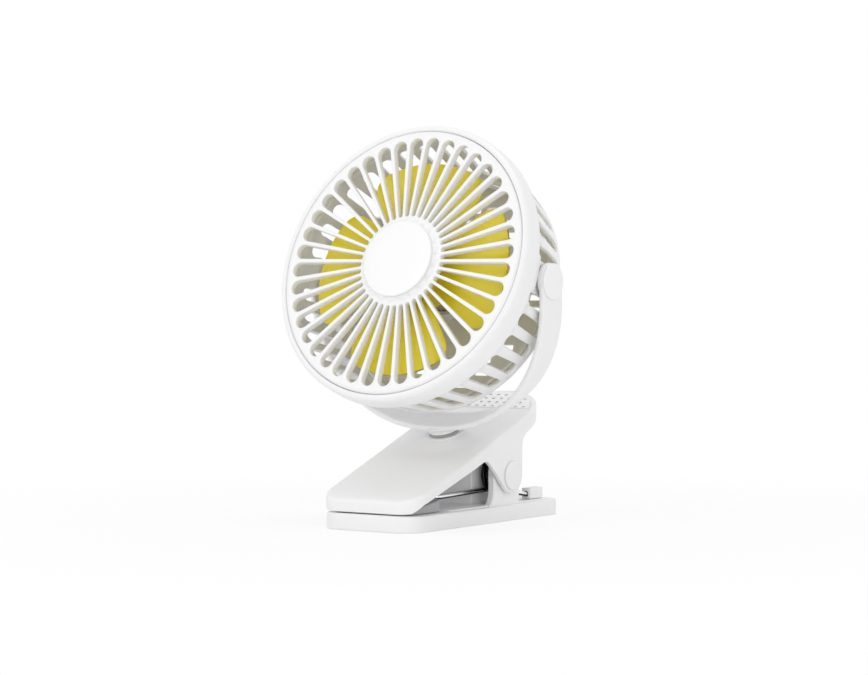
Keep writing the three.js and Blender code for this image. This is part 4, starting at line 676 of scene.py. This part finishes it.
def grille_mesh():
    points, faces = [], []
    for i in range(40):
        front, back = grille_loop(9 * i + 4.5, FACE), grille_loop(9 * i + 4.5, BACK)
        for pair in (front, back, (front[0], back[0])):
            quads(points, faces, *pair)
    outer = [9 * i + 9 * k / 8 for i in range(40) for k in range(8)]
    rim = [(DISC_FLAT, FACE), (71.2, 31.33), (71.9, 31.0), (72.3, 30.4), (72.4, 29.6),
           (72.4, 23.7), (DISC_FLAT, 23.7), (DISC_FLAT, BACK)]
    rings = [[polar(r, t, z) for t in outer] for r, z in rim]

    def hub_ring(radius, depth, z):
        """A ring with grooves between its lobes."""
        ring = []
        for t in outer:
            lobe = abs(math.cos(math.radians(t * FLUTES / 2)))
            ring.append(polar(radius - depth * (1 - lobe) ** 1.5, t, z))
        return ring

    hub = [hub_ring(HUB_FOOT, 0, FACE), hub_ring(23.4, 0.8, 31.5), hub_ring(22.9, 1.9, 31.8),
           hub_ring(22.2, 2.1, 32.5), hub_ring(21.7, 1.8, 33.0), hub_ring(21.0, 1.2, 33.2),
           hub_ring(HUB_BORE, 0, 33.2), hub_ring(HUB_BORE, 0, BACK), hub_ring(HUB_FOOT, 0, BACK)]
    for strip in (rings, hub):
        for a, b in zip(strip, strip[1:]):
            quads(points, faces, a, b)
    return to_head(points), faces


grille = mesh_piece("grille_disc", *grille_mesh())
soften(grille, 0.4, 2, 60)
settle(grille, "head", shell_white, "head_plastic", "front_grille")

# %% Centre cap
CAP_EDGE, CAP_LOW, CAP_HIGH = 20.8, 33.3, 34.8
profile = [(CAP_EDGE - 0.3, CAP_LOW)] + round_rim(CAP_EDGE, CAP_HIGH, 0.7)
profile += [(12, CAP_HIGH), (3, CAP_HIGH)]
cap = solid("centre_disc", placed(lathe(profile, 96), HEAD))
settle(cap, "head", cap_white, "head_plastic", "centre_cap")

# %% [markdown]
# ## Impeller
# Four wide blades, each a twisted sheet with rounded outer corners. The end that lies
# anticlockwise, seen from the front, stands nearer the grille, so the fan blows forwards when
# it turns clockwise. A blade could be bent with a Simple Deform modifier; writing its height
# as a function of the angle is exact and keeps its edge even.

# %% Blades
TIP, ROOT, CORNER = 58.6, 15.6, 8.0
BLADE_MIDDLE, BLADE_RISE, BLADE_THICK = 18.0, 2.7, 1.5
BLADE_HALF, ROOT_HALF = 35.7, 44.0
BLADE_START, BLADE_SWEEP = -2.9, 3.9
IMPELLER_HUB, HUB_FRONT = 17.0, 22.4


def blade_half(radius):
    """Half the angle that the blade covers at a radius, in degrees."""
    share = (radius - ROOT) / (TIP - ROOT)
    past = max(radius - (TIP - CORNER), 0)
    lost = CORNER - math.sqrt(max(CORNER**2 - past**2, 0))
    return ROOT_HALF + (BLADE_HALF - ROOT_HALF) * share - math.degrees(lost / radius)


def blade_rings(turn):
    across = 28
    rings = []
    radii = list(np.linspace(ROOT, TIP - CORNER, 12))
    radii += [TIP - CORNER + CORNER * math.sin(a) for a in np.linspace(0.14, math.pi / 2, 11)]
    for i, radius in enumerate(radii):
        half = max(blade_half(radius), 1.0)
        middle = turn + BLADE_START + BLADE_SWEEP * (radius - ROOT) / (TIP - ROOT)
        thick = BLADE_THICK * (1 if i < len(radii) - 1 else 0.55)
        front, back = [], []
        for k in range(across + 1):
            share = 2 * k / across - 1
            angle = half * share
            arch = 0.8 * (1 - share**2) * (radius / TIP)
            z = BLADE_MIDDLE + BLADE_RISE * angle / BLADE_HALF + arch
            thin = thick / 2 * (1 if 0 < k < across else 0.5)
            front.append(polar(radius, middle + angle, z + thin))
            back.append(polar(radius, middle + angle, z - thin))
        rings.append(front + back[::-1])
    return placed(rings, HEAD)


hub_profile = [(3.6, HUB_FRONT - 1.8), (15.2, HUB_FRONT - 1.8), (15.2, 2.0), (IMPELLER_HUB, 2.0)]
hub_profile += round_rim(IMPELLER_HUB, HUB_FRONT, 1.6) + [(3.6, HUB_FRONT)]
impeller = mesh_piece("impeller_yellow", *skin(placed(lathe(hub_profile, 72), HEAD), close=True))
root_core = solid("root_core", placed(lathe([(16.1, -10), (16.1, 40)], 72), HEAD))
blades = [solid(f"blade_{i}", blade_rings(90 * i)) for i in range(4)]
for one in blades:
    apply_modifier(one, "BOOLEAN", object=root_core, operation="DIFFERENCE", solver="MANIFOLD")
bpy.data.objects.remove(root_core)
combine(impeller, blades, "UNION")
boss_profile = [(1.3, 1.2), (4.3, 1.2), (4.3, HUB_FRONT - 1), (1.3, HUB_FRONT - 1)]
boss = mesh_piece("boss", *skin(placed(lathe(boss_profile, 40), HEAD), close=True))
combine(impeller, [boss], "UNION")
settle(impeller, "rotor", blade_yellow, "impeller_plastic", "impeller")

# %% [markdown]
# ## Rear cover
# A dished cover snaps into the drum from behind. Its flat carries rows of short vents and, in
# the middle, the round pod with the cell, the board and the button.

# %% Rear cover
COVER_FLAT, COVER_FACE = 57.0, -26.8
POD, POD_BACK = 29.0, -41.0
cover_profile = [(3, POD_BACK), (24, POD_BACK), (26.2, -40.6), (27.9, -39.4), (28.8, -37.6),
                 (POD, -35.6), (POD, -28.2), (29.5, -27.1), (30.8, COVER_FACE),
                 (56, COVER_FACE), (58.6, -26.2), (60.6, -24.8), (61.8, -22.8), (62.0, -21),
                 (62.0, -17.3), (60.2, -17.3), (60.2, -20.6), (59.2, -23.2), (57, -24.6),
                 (54, -24.8), (27, -24.8), (27, -36), (25.6, -38.3), (23, -39), (3, -39)]
cover = mesh_piece("rear_shell", *skin(placed(lathe(cover_profile, 144), HEAD), close=True))
MOUNT_EDGE, VENT_W, VENT_H, VENT_X, VENT_Y = 36, 9, 3.6, 12.4, 7.0
vents = []
for row in range(-8, 9):
    for column in range(-5, 6):
        x, y = column * VENT_X, row * VENT_Y
        near = math.hypot(max(abs(x) - VENT_W / 2, 0), max(abs(y) - VENT_H / 2, 0))
        far = math.hypot(abs(x) + VENT_W / 2, abs(y) + VENT_H / 2)
        if near > MOUNT_EDGE + 2 and far < COVER_FLAT - 2:
            outline = rounded_box(x - VENT_W / 2, x + VENT_W / 2, y - VENT_H / 2,
                                  y + VENT_H / 2, 0.8, 3)
            vents.append(solid("vent", placed(prism(outline, -30, -20), HEAD)))
for x, y, r in ((0, 0, 6.3), (0, 13, 1.8)):
    rings = [ring + np.array([x, y, 0]) for ring in lathe([(r, -45), (r, -35)], 48)]
    vents.append(solid("hole", placed(rings, HEAD)))
port = rounded_box(-4.8, 4.8, -40, -22, 0.4, 2)
vents.append(solid("port", placed(prism(port, -33.4, -29.5), HEAD)))
combine(cover, vents, "DIFFERENCE")
settle(cover, "head", inner_grey, "inner_plastic", "rear_cover")

# %% Power button
button_profile = [(1.9, -38), (5.9, -38), (5.9, -41.2)]
button_profile += [(6 - d, -42 + h) for d, h in quarter(0.7, 4)] + [(4, -41.75), (0.5, -41.6)]
button = solid("button_cap", placed(lathe(button_profile, 64), HEAD))
settle(button, "button", cap_white, "head_plastic", "power_button")

# %% [markdown]
# ## Fork
# The fork is a strap bent round the drum. It leans back a little, and low down it twists until
# it lies flat on the sloping jaw. A curve with a bevel object could follow that; rings placed
# on the measured line give the twist and the even rounded edges directly.

# %% Fork strap
FORK_LEAN, JAW_SLOPE = math.radians(7.4), math.radians(20.7)
FORK_REACH, FORK_SPAN, FORK_THICK, FORK_HALF = 76.8, 74.5, 3.0, 9.5
FORK_POWER, FORK_EDGE = 2 / 2.3, 1.1
DOWN = Vector((0, math.sin(FORK_LEAN), -math.cos(FORK_LEAN)))
PIVOT = Vector((0, 0, PIVOT_HEIGHT))


def fork_point(angle, depth):
    """A point of the strap's line, depth millimetres inside its outer face, and its width."""
    c, s = math.cos(angle), math.sin(angle)
    across = math.copysign(abs(c) ** FORK_POWER, c) * (FORK_SPAN - depth)
    down = max(s, 0) ** FORK_POWER * (FORK_REACH - depth)
    twist = FORK_LEAN + (JAW_SLOPE - FORK_LEAN) * s**2
    width = Vector((0, math.cos(twist), math.sin(twist)))
    return PIVOT + DOWN * down + Vector((across, 0, 0)), width


def strap_section():
    """(depth, along) points round the strap's section, with rounded corners."""
    edge = FORK_EDGE
    turns = [math.radians(a) for a in (22.5, 45, 67.5, 90, 67.5, 45, 22.5, 0)]
    section = [(0, FORK_HALF - edge), (0, -FORK_HALF + edge)]
    for side in (-1, 1):
        for k, turn in enumerate(turns):
            depth = edge * (1 - math.cos(turn))
            outside = (k < 4) == (side < 0)
            along = FORK_HALF - edge + edge * math.sin(turn)
            section.append((depth if outside else FORK_THICK - depth, side * along))
    return section[:-1]


def strap_rings(steps=120):
    rings = []
    for i in range(steps + 1):
        ring = []
        for depth, along in strap_section():
            point, width = fork_point(math.pi * i / steps, depth)
            ring.append(tuple(point + width * along))
        rings.append(ring)
    return rings


NECK_POINT = PIVOT + DOWN * FORK_REACH
NORMAL = Vector((0, -math.sin(JAW_SLOPE), math.cos(JAW_SLOPE)))
JAW_TOP = 38.8
NECK_HEIGHT = (NECK_POINT - Vector((0, 0, JAW_TOP))).dot(NORMAL)
NECK_Y = (NECK_POINT - NORMAL * NECK_HEIGHT).y


def on_slope(y):
    """From the jaw's sloping top, at y, to the fan."""
    z = JAW_TOP + math.tan(JAW_SLOPE) * y
    return Matrix.Translation((0, y, z)) @ Matrix.Rotation(JAW_SLOPE, 4, "X")


fork = solid("fork_strap", strap_rings())
ends = side_bars("arm_end", FORK_SPAN - FORK_THICK, FORK_SPAN, 0, PIVOT_HEIGHT, FORK_HALF, 64,
                 FORK_EDGE)
neck_profile = [(8.1, 5.2), (8.3, 5.4), (8.3, NECK_HEIGHT - 1.5), (8.9, NECK_HEIGHT - 0.4),
                (10.2, NECK_HEIGHT + 0.3), (10.2, NECK_HEIGHT + 1.2)]
ends.append(solid("neck", placed(lathe(neck_profile, 64), on_slope(NECK_Y))))
combine(fork, ends, "UNION")
BOLT_HOLE, NUT_POCKET = (3.3, 0, 9.4), (6.4, 5.3, 9.2)
holes = [solid("bolt_hole", placed(lathe([(r, low), (r, high)], 40), on_slope(NECK_Y)))
         for r, low, high in (BOLT_HOLE, NUT_POCKET)]
holes += side_bars("screw_hole", 60, 90, 0, PIVOT_HEIGHT, SCREW_BORE, 24)
holes += side_bars("head_hole", FORK_SPAN - 1, 90, 0, PIVOT_HEIGHT, 4.9, 32)
combine(fork, holes, "DIFFERENCE")
settle(fork, "fork", shell_white, "head_plastic", "fork")

# %% Pivot caps
for side, word in ((1, "right"), (-1, "left")):
    start = Vector(((FORK_SPAN + 0.05) * side, 0, PIVOT_HEIGHT))
    end = Vector(((FORK_SPAN + 0.9) * side, 0, PIVOT_HEIGHT))
    disc = solid(f"pivot_disc_{word}", bar(start, end, 9.3, 72, 0.7))
    settle(disc, "fork", cap_white, "head_plastic", f"pivot_cap_{word}")

# %% [markdown]
# ## Upper jaw
# The jaw is a thin scoop: a sloping top with soft edges, and walls whose lower edge rises,
# dips round the hinge and rises again to the finger rest. It could be sculpted from a box
# with subdivision. Here the outline in plan is walked round once, and at every point the
# wall's lower edge is looked up from the side view, so one skin gives top, edge and wall. A
# low cone on the top carries the fork's neck.

# %% Jaw lines
JAW_HALF, JAW_FRONT, JAW_END = 31.0, -60.5, 44.5
JAW_CORNER, JAW_WALL, JAW_ROUND, JAW_EDGE = 12.0, 2.6, 1.8, 0.4
TIP_TOP, TIP_RISE = 15.6, 0.49
HINGE_Y, HINGE_Z, LUG = 30.0, 24.2, 9.5


def jaw_top(y):
    """Height of the sloping top, with a short bevel at its tip."""
    return min(JAW_TOP + math.tan(JAW_SLOPE) * y, TIP_TOP + TIP_RISE * (y - JAW_FRONT))


def lower_edge():
    """(y, z) points along the wall's lower edge, from the tip to the rear end."""
    points = [(JAW_FRONT, 9.2), (-57.5, 9.8), (-54.5, 12.1), (-51.5, 14.2), (-39.4, 18.2)]
    points += [(-20, 24.7), (-4, 30.0), (0, 31.5), (2.5, 32.5), (4.7, 32.9), (6.8, 32.3)]
    points += [(8.6, 31.1), (13.1, 27.0), (22.6, 18.2)]
    turns = np.radians(np.linspace(222, 352, 16))
    points += [(HINGE_Y + LUG * math.cos(t), HINGE_Z + LUG * math.sin(t)) for t in turns]
    points += [(39.5, 26), (39.6, 38.5), (39.9, 41), (40.8, 43.1), (42.6, 44.9), (46, 47.0)]
    return points + [(54.9, 50.5), (JAW_END + JAW_HALF, 58.3)]


EDGE = sorted(lower_edge())


def edge_height(y):
    ys, zs = zip(*EDGE)
    return float(np.interp(y, ys, zs))


def jaw_outline():
    """The jaw in plan, counter-clockwise, each point of one side mirrored on the other."""
    between = [y for y, z in EDGE if JAW_FRONT + JAW_CORNER < y < JAW_END]
    side = [(JAW_HALF, y) for y in sorted(set(between + list(range(-46, 44, 3))))]
    front = [(0.01, JAW_FRONT)] + [(x, JAW_FRONT) for x in np.linspace(3, 18.5, 5)]
    corner = arc(JAW_HALF - JAW_CORNER, JAW_FRONT + JAW_CORNER, JAW_CORNER, -90, 0, 16)
    rear = arc(0, JAW_END, JAW_HALF, 0, 89.9, 30)
    half = front + corner + side + rear
    return half + [(-x, y) for x, y in half[::-1]]


# %% Jaw skin
def jaw_mesh():
    plan = np.array(jaw_outline())
    low = np.array([edge_height(y) for x, y in plan])
    top_drop = JAW_WALL / math.cos(JAW_SLOPE)

    def at_low(depth, rise):
        return np.c_[inset(plan, depth), low + rise]

    def at_top(depth, drop):
        p = inset(plan, depth)
        return np.c_[p, [jaw_top(y) - drop for x, y in p]]

    rings = [at_top(JAW_WALL, top_drop), at_low(JAW_WALL, JAW_EDGE), at_low(JAW_WALL - JAW_EDGE, 0),
             at_low(JAW_EDGE, 0), at_low(0, JAW_EDGE)]
    rings += [at_top(depth, drop) for depth, drop in quarter(JAW_ROUND, 5)]
    points, faces = skin(rings, caps=False)
    count = len(plan)
    for start in (0, (len(rings) - 1) * count):
        for i in range(count // 2 - 1):
            j = count - 1 - i
            faces.append((start + i, start + i + 1, start + j - 1, start + j))
    return points, faces


jaw = mesh_piece("jaw_scoop", *jaw_mesh())
boss_profile = [(23, -1.2), (22.6, -0.05), (19.5, 0.25), (16.5, 1.1), (13.5, 2.3), (11.4, 3.2)]
boss_profile += round_rim(10.9, 3.6, 0.3, 3)
TRAY_DEEP, TRAY_WALL, TRAY_INSET = 5.5, 1.4, 2.6
LID, LID_FRONT, LID_TOP, LID_THICK = 28.4, 8.0, 0.4, 1.6


def lid_outline(depth):
    """The lid's outline: a round end cut off by a straight front."""
    radius, front = LID - depth, LID_FRONT + depth
    start = math.degrees(math.asin(front / radius))
    corner = 1.2 if depth < 2 else 0.6
    end = radius * math.cos(math.radians(start)) - corner
    curve = arc(0, 0, radius, start + corner * 2, 180 - start - corner * 2, 40)
    return curve + [(-end, front), (end, front)]


def lid_plate(depth, low, high):
    return placed(prism(lid_outline(depth), low, high), on_slope(JAW_END))


WEB_Y, HOOK_UNDER = -20.2, 13.6
hook_side = [(WEB_Y - 2, 29), (WEB_Y - 2, HOOK_UNDER - 2), (-14.6, HOOK_UNDER - 2),
             (-14.6, HOOK_UNDER), (WEB_Y, HOOK_UNDER), (WEB_Y, 29.5)]
hook = [[(x, y, z) for y, z in hook_side] for x in (-5, 5)]
adds = [solid("boss", placed(lathe(boss_profile, 96), on_slope(NECK_Y))),
        solid("tray", lid_plate(TRAY_INSET - TRAY_WALL, -TRAY_DEEP, -1)), solid("hook", hook)]
combine(jaw, adds, "UNION")
cuts = [solid("bore", placed(lathe([(3.3, -9), (3.3, 9)], 32), on_slope(NECK_Y))),
        solid("rebate", lid_plate(-0.15, LID_TOP - LID_THICK - 0.3, 6)),
        solid("well", lid_plate(TRAY_INSET, -TRAY_DEEP + TRAY_WALL, 1)),
        solid("lug_bore", bar((-60, HINGE_Y, HINGE_Z), (60, HINGE_Y, HINGE_Z), 2.3, 32))]
combine(jaw, cuts, "DIFFERENCE")
settle(jaw, "jaw", clip_white, "clip_plastic", "upper_jaw")

# %% [markdown]
# The scent lid snaps into a rebate at the rear of the jaw. Its rows of small holes are real
# holes, because from above the felt shows through them.

# %% Scent lid
HOLE, HOLE_PITCH = 1.05, 5.0
lid_rings = slab(lid_outline(0), LID_TOP - LID_THICK, LID_TOP, 0.25, 0.2, 3)
lid = solid("lid_plate", placed(lid_rings, on_slope(JAW_END)))
drills = []
for row in range(4):
    for column in range(-6, 6):
        x, y = (column + 0.5) * HOLE_PITCH, LID_FRONT + 2 + row * HOLE_PITCH
        if math.hypot(x, y) < LID - 1.7:
            ring = lathe([(HOLE, LID_TOP - 3), (HOLE, LID_TOP + 3)], 20)
            drills.append(placed([r + np.array([x, y, 0]) for r in ring], on_slope(JAW_END)))
combine(lid, [gather("drills", drills)], "DIFFERENCE")
settle(lid, "jaw", cap_white, "clip_plastic", "scent_lid")
print("holes in the lid:", len(drills))

# %% Hinge caps and washer
for side, word in ((1, "right"), (-1, "left")):
    start, end = ((JAW_HALF + d) * side for d in (0.3, 1.1))
    disc = solid(f"hinge_disc_{word}", bar((start, HINGE_Y, HINGE_Z), (end, HINGE_Y, HINGE_Z),
                                           7.8, 72, 0.7))
    settle(disc, "jaw", clip_white, "clip_plastic", f"hinge_cap_{word}")
# the washer's dark grey is painted shade for the shadow under the strap
washer = mesh_piece("neck_washer", *skin(placed(lathe(
    [(3.3, 3.9), (8.1, 3.9), (8.3, 4.1), (8.3, 4.7), (8.1, 4.9), (3.3, 4.9)], 72),
    on_slope(NECK_Y)), close=True))
settle(washer, "jaw", washer_painted_shade, "washer_plastic", "swivel_washer")

# %% [markdown]
# ## Base
# The foot is a thick plate with soft edges and a raised deck. Two ears carry the axle, and a
# spool on each keeps the coils of the spring in place. A three-sided housing stands between
# the coils; through the notch in the jaw's side only its plain grey wall is seen.

# %% Base shell
FOOT_HALF, FOOT_REAR_HALF, FOOT_TOP, DECK_TOP = 30, 29, 8.5, 9.2
EAR_INNER, EAR_OUTER, EAR_FRONT, EAR_REAR, EAR_TOP, EAR_ROUND = 23.5, 27.5, 17.5, 42, 32.4, 6
HOUSING_HALF, HOUSING_WALL = 13.2, 2.4


def base_outline():
    right = arc(FOOT_HALF - 13, -49, 13, -90, 0, 14)
    right += [(FOOT_HALF, 0), (FOOT_HALF, 19), (FOOT_HALF - 0.1, 21)]
    right += [(FOOT_REAR_HALF + 0.1, 31), (FOOT_REAR_HALF, 33), (FOOT_REAR_HALF, 60)]
    right += arc(FOOT_REAR_HALF - 10, 74, 10, 0, 90, 12)
    return right + [(-x, y) for x, y in right[::-1]]


base = solid("base_foot", slab(base_outline(), 0, FOOT_TOP, 1.3, 0.6, 5))
deck = solid("deck", slab(rounded_box(-26.5, 26.5, -22, 73, 3), 4, DECK_TOP, 0.4, 0.2))
parts = [deck]
corner_z = EAR_TOP - EAR_ROUND
ear = [(13.1, 2.2), (EAR_REAR, 2.2)]
ear += arc(EAR_REAR - EAR_ROUND, corner_z, EAR_ROUND, 0, 90, 8)
ear += arc(EAR_FRONT + EAR_ROUND, corner_z, EAR_ROUND, 90, 180, 8)
ear += [(17.5, 18.2), (17.3, 15.4), (16.7, 12.9), (15.6, 10.9), (14.6, 9.8), (13.1, 9.0)]
for side in (1, -1):
    near, far = sorted((EAR_INNER * side, EAR_OUTER * side))
    places = ((near, 0.5), (near + 0.5, 0), (far - 0.5, 0), (far, 0.5))
    parts.append(solid("ear", [[(x, y, z) for y, z in inset(ear, depth)] for x, depth in places]))
    for radius, reach in ((6, 28.1), (5.5, 15.3)):
        parts.append(solid("spool", bar((25 * side, HINGE_Y, HINGE_Z),
                                        (reach * side, HINGE_Y, HINGE_Z), radius, 48, 0.4)))
housing = box_piece("housing", -HOUSING_HALF, HOUSING_HALF, EAR_FRONT, EAR_REAR, 4, EAR_TOP)
room_half = HOUSING_HALF - HOUSING_WALL
room = box_piece("room", -room_half, room_half, EAR_FRONT + HOUSING_WALL, 44, 0, 40)
combine(housing, [room], "DIFFERENCE")
parts.append(soften(housing, 0.5, 3, 50))
combine(base, parts, "UNION")
recess = solid("recess", prism(inset(base_outline(), 4.7), -1, 1.5))
axle_bore = solid("axle_bore", bar((-60, HINGE_Y, HINGE_Z), (60, HINGE_Y, HINGE_Z), 2.3, 32))
combine(base, [recess, axle_bore], "DIFFERENCE")
settle(base, "base", clip_white, "clip_plastic", "base_shell")

# %% [markdown]
# The grip pad is a soft wedge on the front of the foot. Its edges are rounder than those of
# the hard plastic, and its grain is coarser.

# %% Grip pad
def pad_rings():
    outline = rounded_box(-24, 24, -57, -25, 5, 8)
    rings = []
    for depth, drop in reversed(quarter(0.4, 3)):
        rings.append(np.c_[inset(outline, depth), np.full(len(outline), 8.8 + drop)])
    for depth, drop in quarter(0.9, 4):
        p = inset(outline, depth)
        rings.append(np.c_[p, [10.4 + 0.15625 * (y + 57) - drop for x, y in p]])
    return rings


pad = solid("grip_wedge", pad_rings())
settle(pad, "base", soft_grey, "soft_rubber", "base_grip_pad")

# %% [markdown]
# ## Spring
# One unbroken wire: a rear leg held in a block on the deck, two turns round the spool, a
# front leg to the bridge below the jaw's hook, and the same again on the other side.

# %% Spring wire
WIRE, COIL, TURNS, PITCH, LEG_X = 1.3, 8.0, 2, 3.1, 21.5
BRIDGE_Y, BRIDGE_Z, BEND = -18.6, 15.2, 3.0
REAR_Y, REAR_Z = 66.0, 10.9


def spring_half(side):
    low = HINGE_Z - COIL
    inner = LEG_X - TURNS * PITCH
    points = [(LEG_X, REAR_Y + (HINGE_Y - REAR_Y) * share, REAR_Z + (low - REAR_Z) * share)
              for share in (0, 0.25, 0.5, 0.75, 0.9)]
    for i in range(TURNS * 40 + 1):
        turn = 2 * math.pi * i / 40
        points.append((LEG_X - PITCH * i / 40, HINGE_Y - COIL * math.sin(turn),
                       HINGE_Z - COIL * math.cos(turn)))
    for share in (0.25, 0.5, 0.75):
        points.append((inner, HINGE_Y + (BRIDGE_Y + BEND - HINGE_Y) * share,
                       low + (BRIDGE_Z - low) * share))
    for a in np.radians(np.linspace(0, 90, 9)):
        points.append((inner - BEND * (1 - math.cos(a)), BRIDGE_Y + BEND * (1 - math.sin(a)),
                       BRIDGE_Z))
    return [(x * side, y, z) for x, y, z in points]


def tube(points, radius, sides=20):
    """Rings of a round wire along a list of points."""
    p = np.array(points, float)
    along = np.gradient(p, axis=0)
    along /= np.linalg.norm(along, axis=1)[:, None]
    normal, rings = np.array([1.0, 0, 0]), []
    turn = np.arange(sides) * 2 * math.pi / sides
    for place, tangent in zip(p, along):
        normal = normal - tangent * normal.dot(tangent)
        normal /= np.linalg.norm(normal)
        other = np.cross(tangent, normal)
        rings.append(place + radius * (np.outer(np.cos(turn), normal)
                                       + np.outer(np.sin(turn), other)))
    return rings


wire = solid("spring_wire", tube(spring_half(1) + spring_half(-1)[::-1], WIRE))
wire.data.materials.append(spring_steel)
wire.data.polygons.foreach_set("use_smooth", [True] * len(wire.data.polygons))
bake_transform(wire)
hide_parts("torsion_spring")
print("spring wire:", len(wire.data.polygons), "faces")

# %% Spring seats
for side, word in ((1, "right"), (-1, "left")):
    x = LEG_X * side
    block = solid(f"seat_block_{word}", slab(rounded_box(x - 3, x + 3, 58, 71, 1.2), 9.5, 15.3,
                                             0.5, 0.2))
    hole = solid("seat_hole", bar((x, 50, 13.26), (x, 66.3, 10.86), 1.6, 24))
    combine(block, [hole], "DIFFERENCE")
    settle(block, "base", clip_white, "clip_plastic", f"spring_seat_{word}")

# %% [markdown]
# ## Small parts
# Screws, washers, the motor, the cell and the board keep their solids, whose shapes are
# right. They only get finishes: their real ones, except the washers' dark grey, which is painted
# shade.

# %% Finishes of the small parts
PAINT = [
    (soft_grey, "base_sole jaw_grip_pad"),
    (white_felt, "scent_pad battery_foam"),
    # the washers' dark grey is painted shade
    (washer_painted_shade, "friction_washer_right friction_washer_left"),
    (screw_steel, "clip_axle swivel_bolt swivel_spring_washer swivel_nut pivot_screw_right "
     "pivot_screw_left motor_can charge_port motor_shaft impeller_nut mount_screw_1 "
     "mount_screw_2 mount_screw_3"),
    (inner_grey, "motor_mount"), (brass, "motor_bushing"), (cell_blue, "battery"),
    (board_green, "circuit_board"), (dark_plastic, "tact_switch"),
    (clear_lens, "indicator_lens"),
]
for paint, names in PAINT:
    for name in names.split():
        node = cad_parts[name]
        if not node.material_slots:
            node.data.materials.append(paint)
        for slot in node.material_slots:
            slot.material = paint
print("small parts painted:", sum(len(names.split()) for paint, names in PAINT))
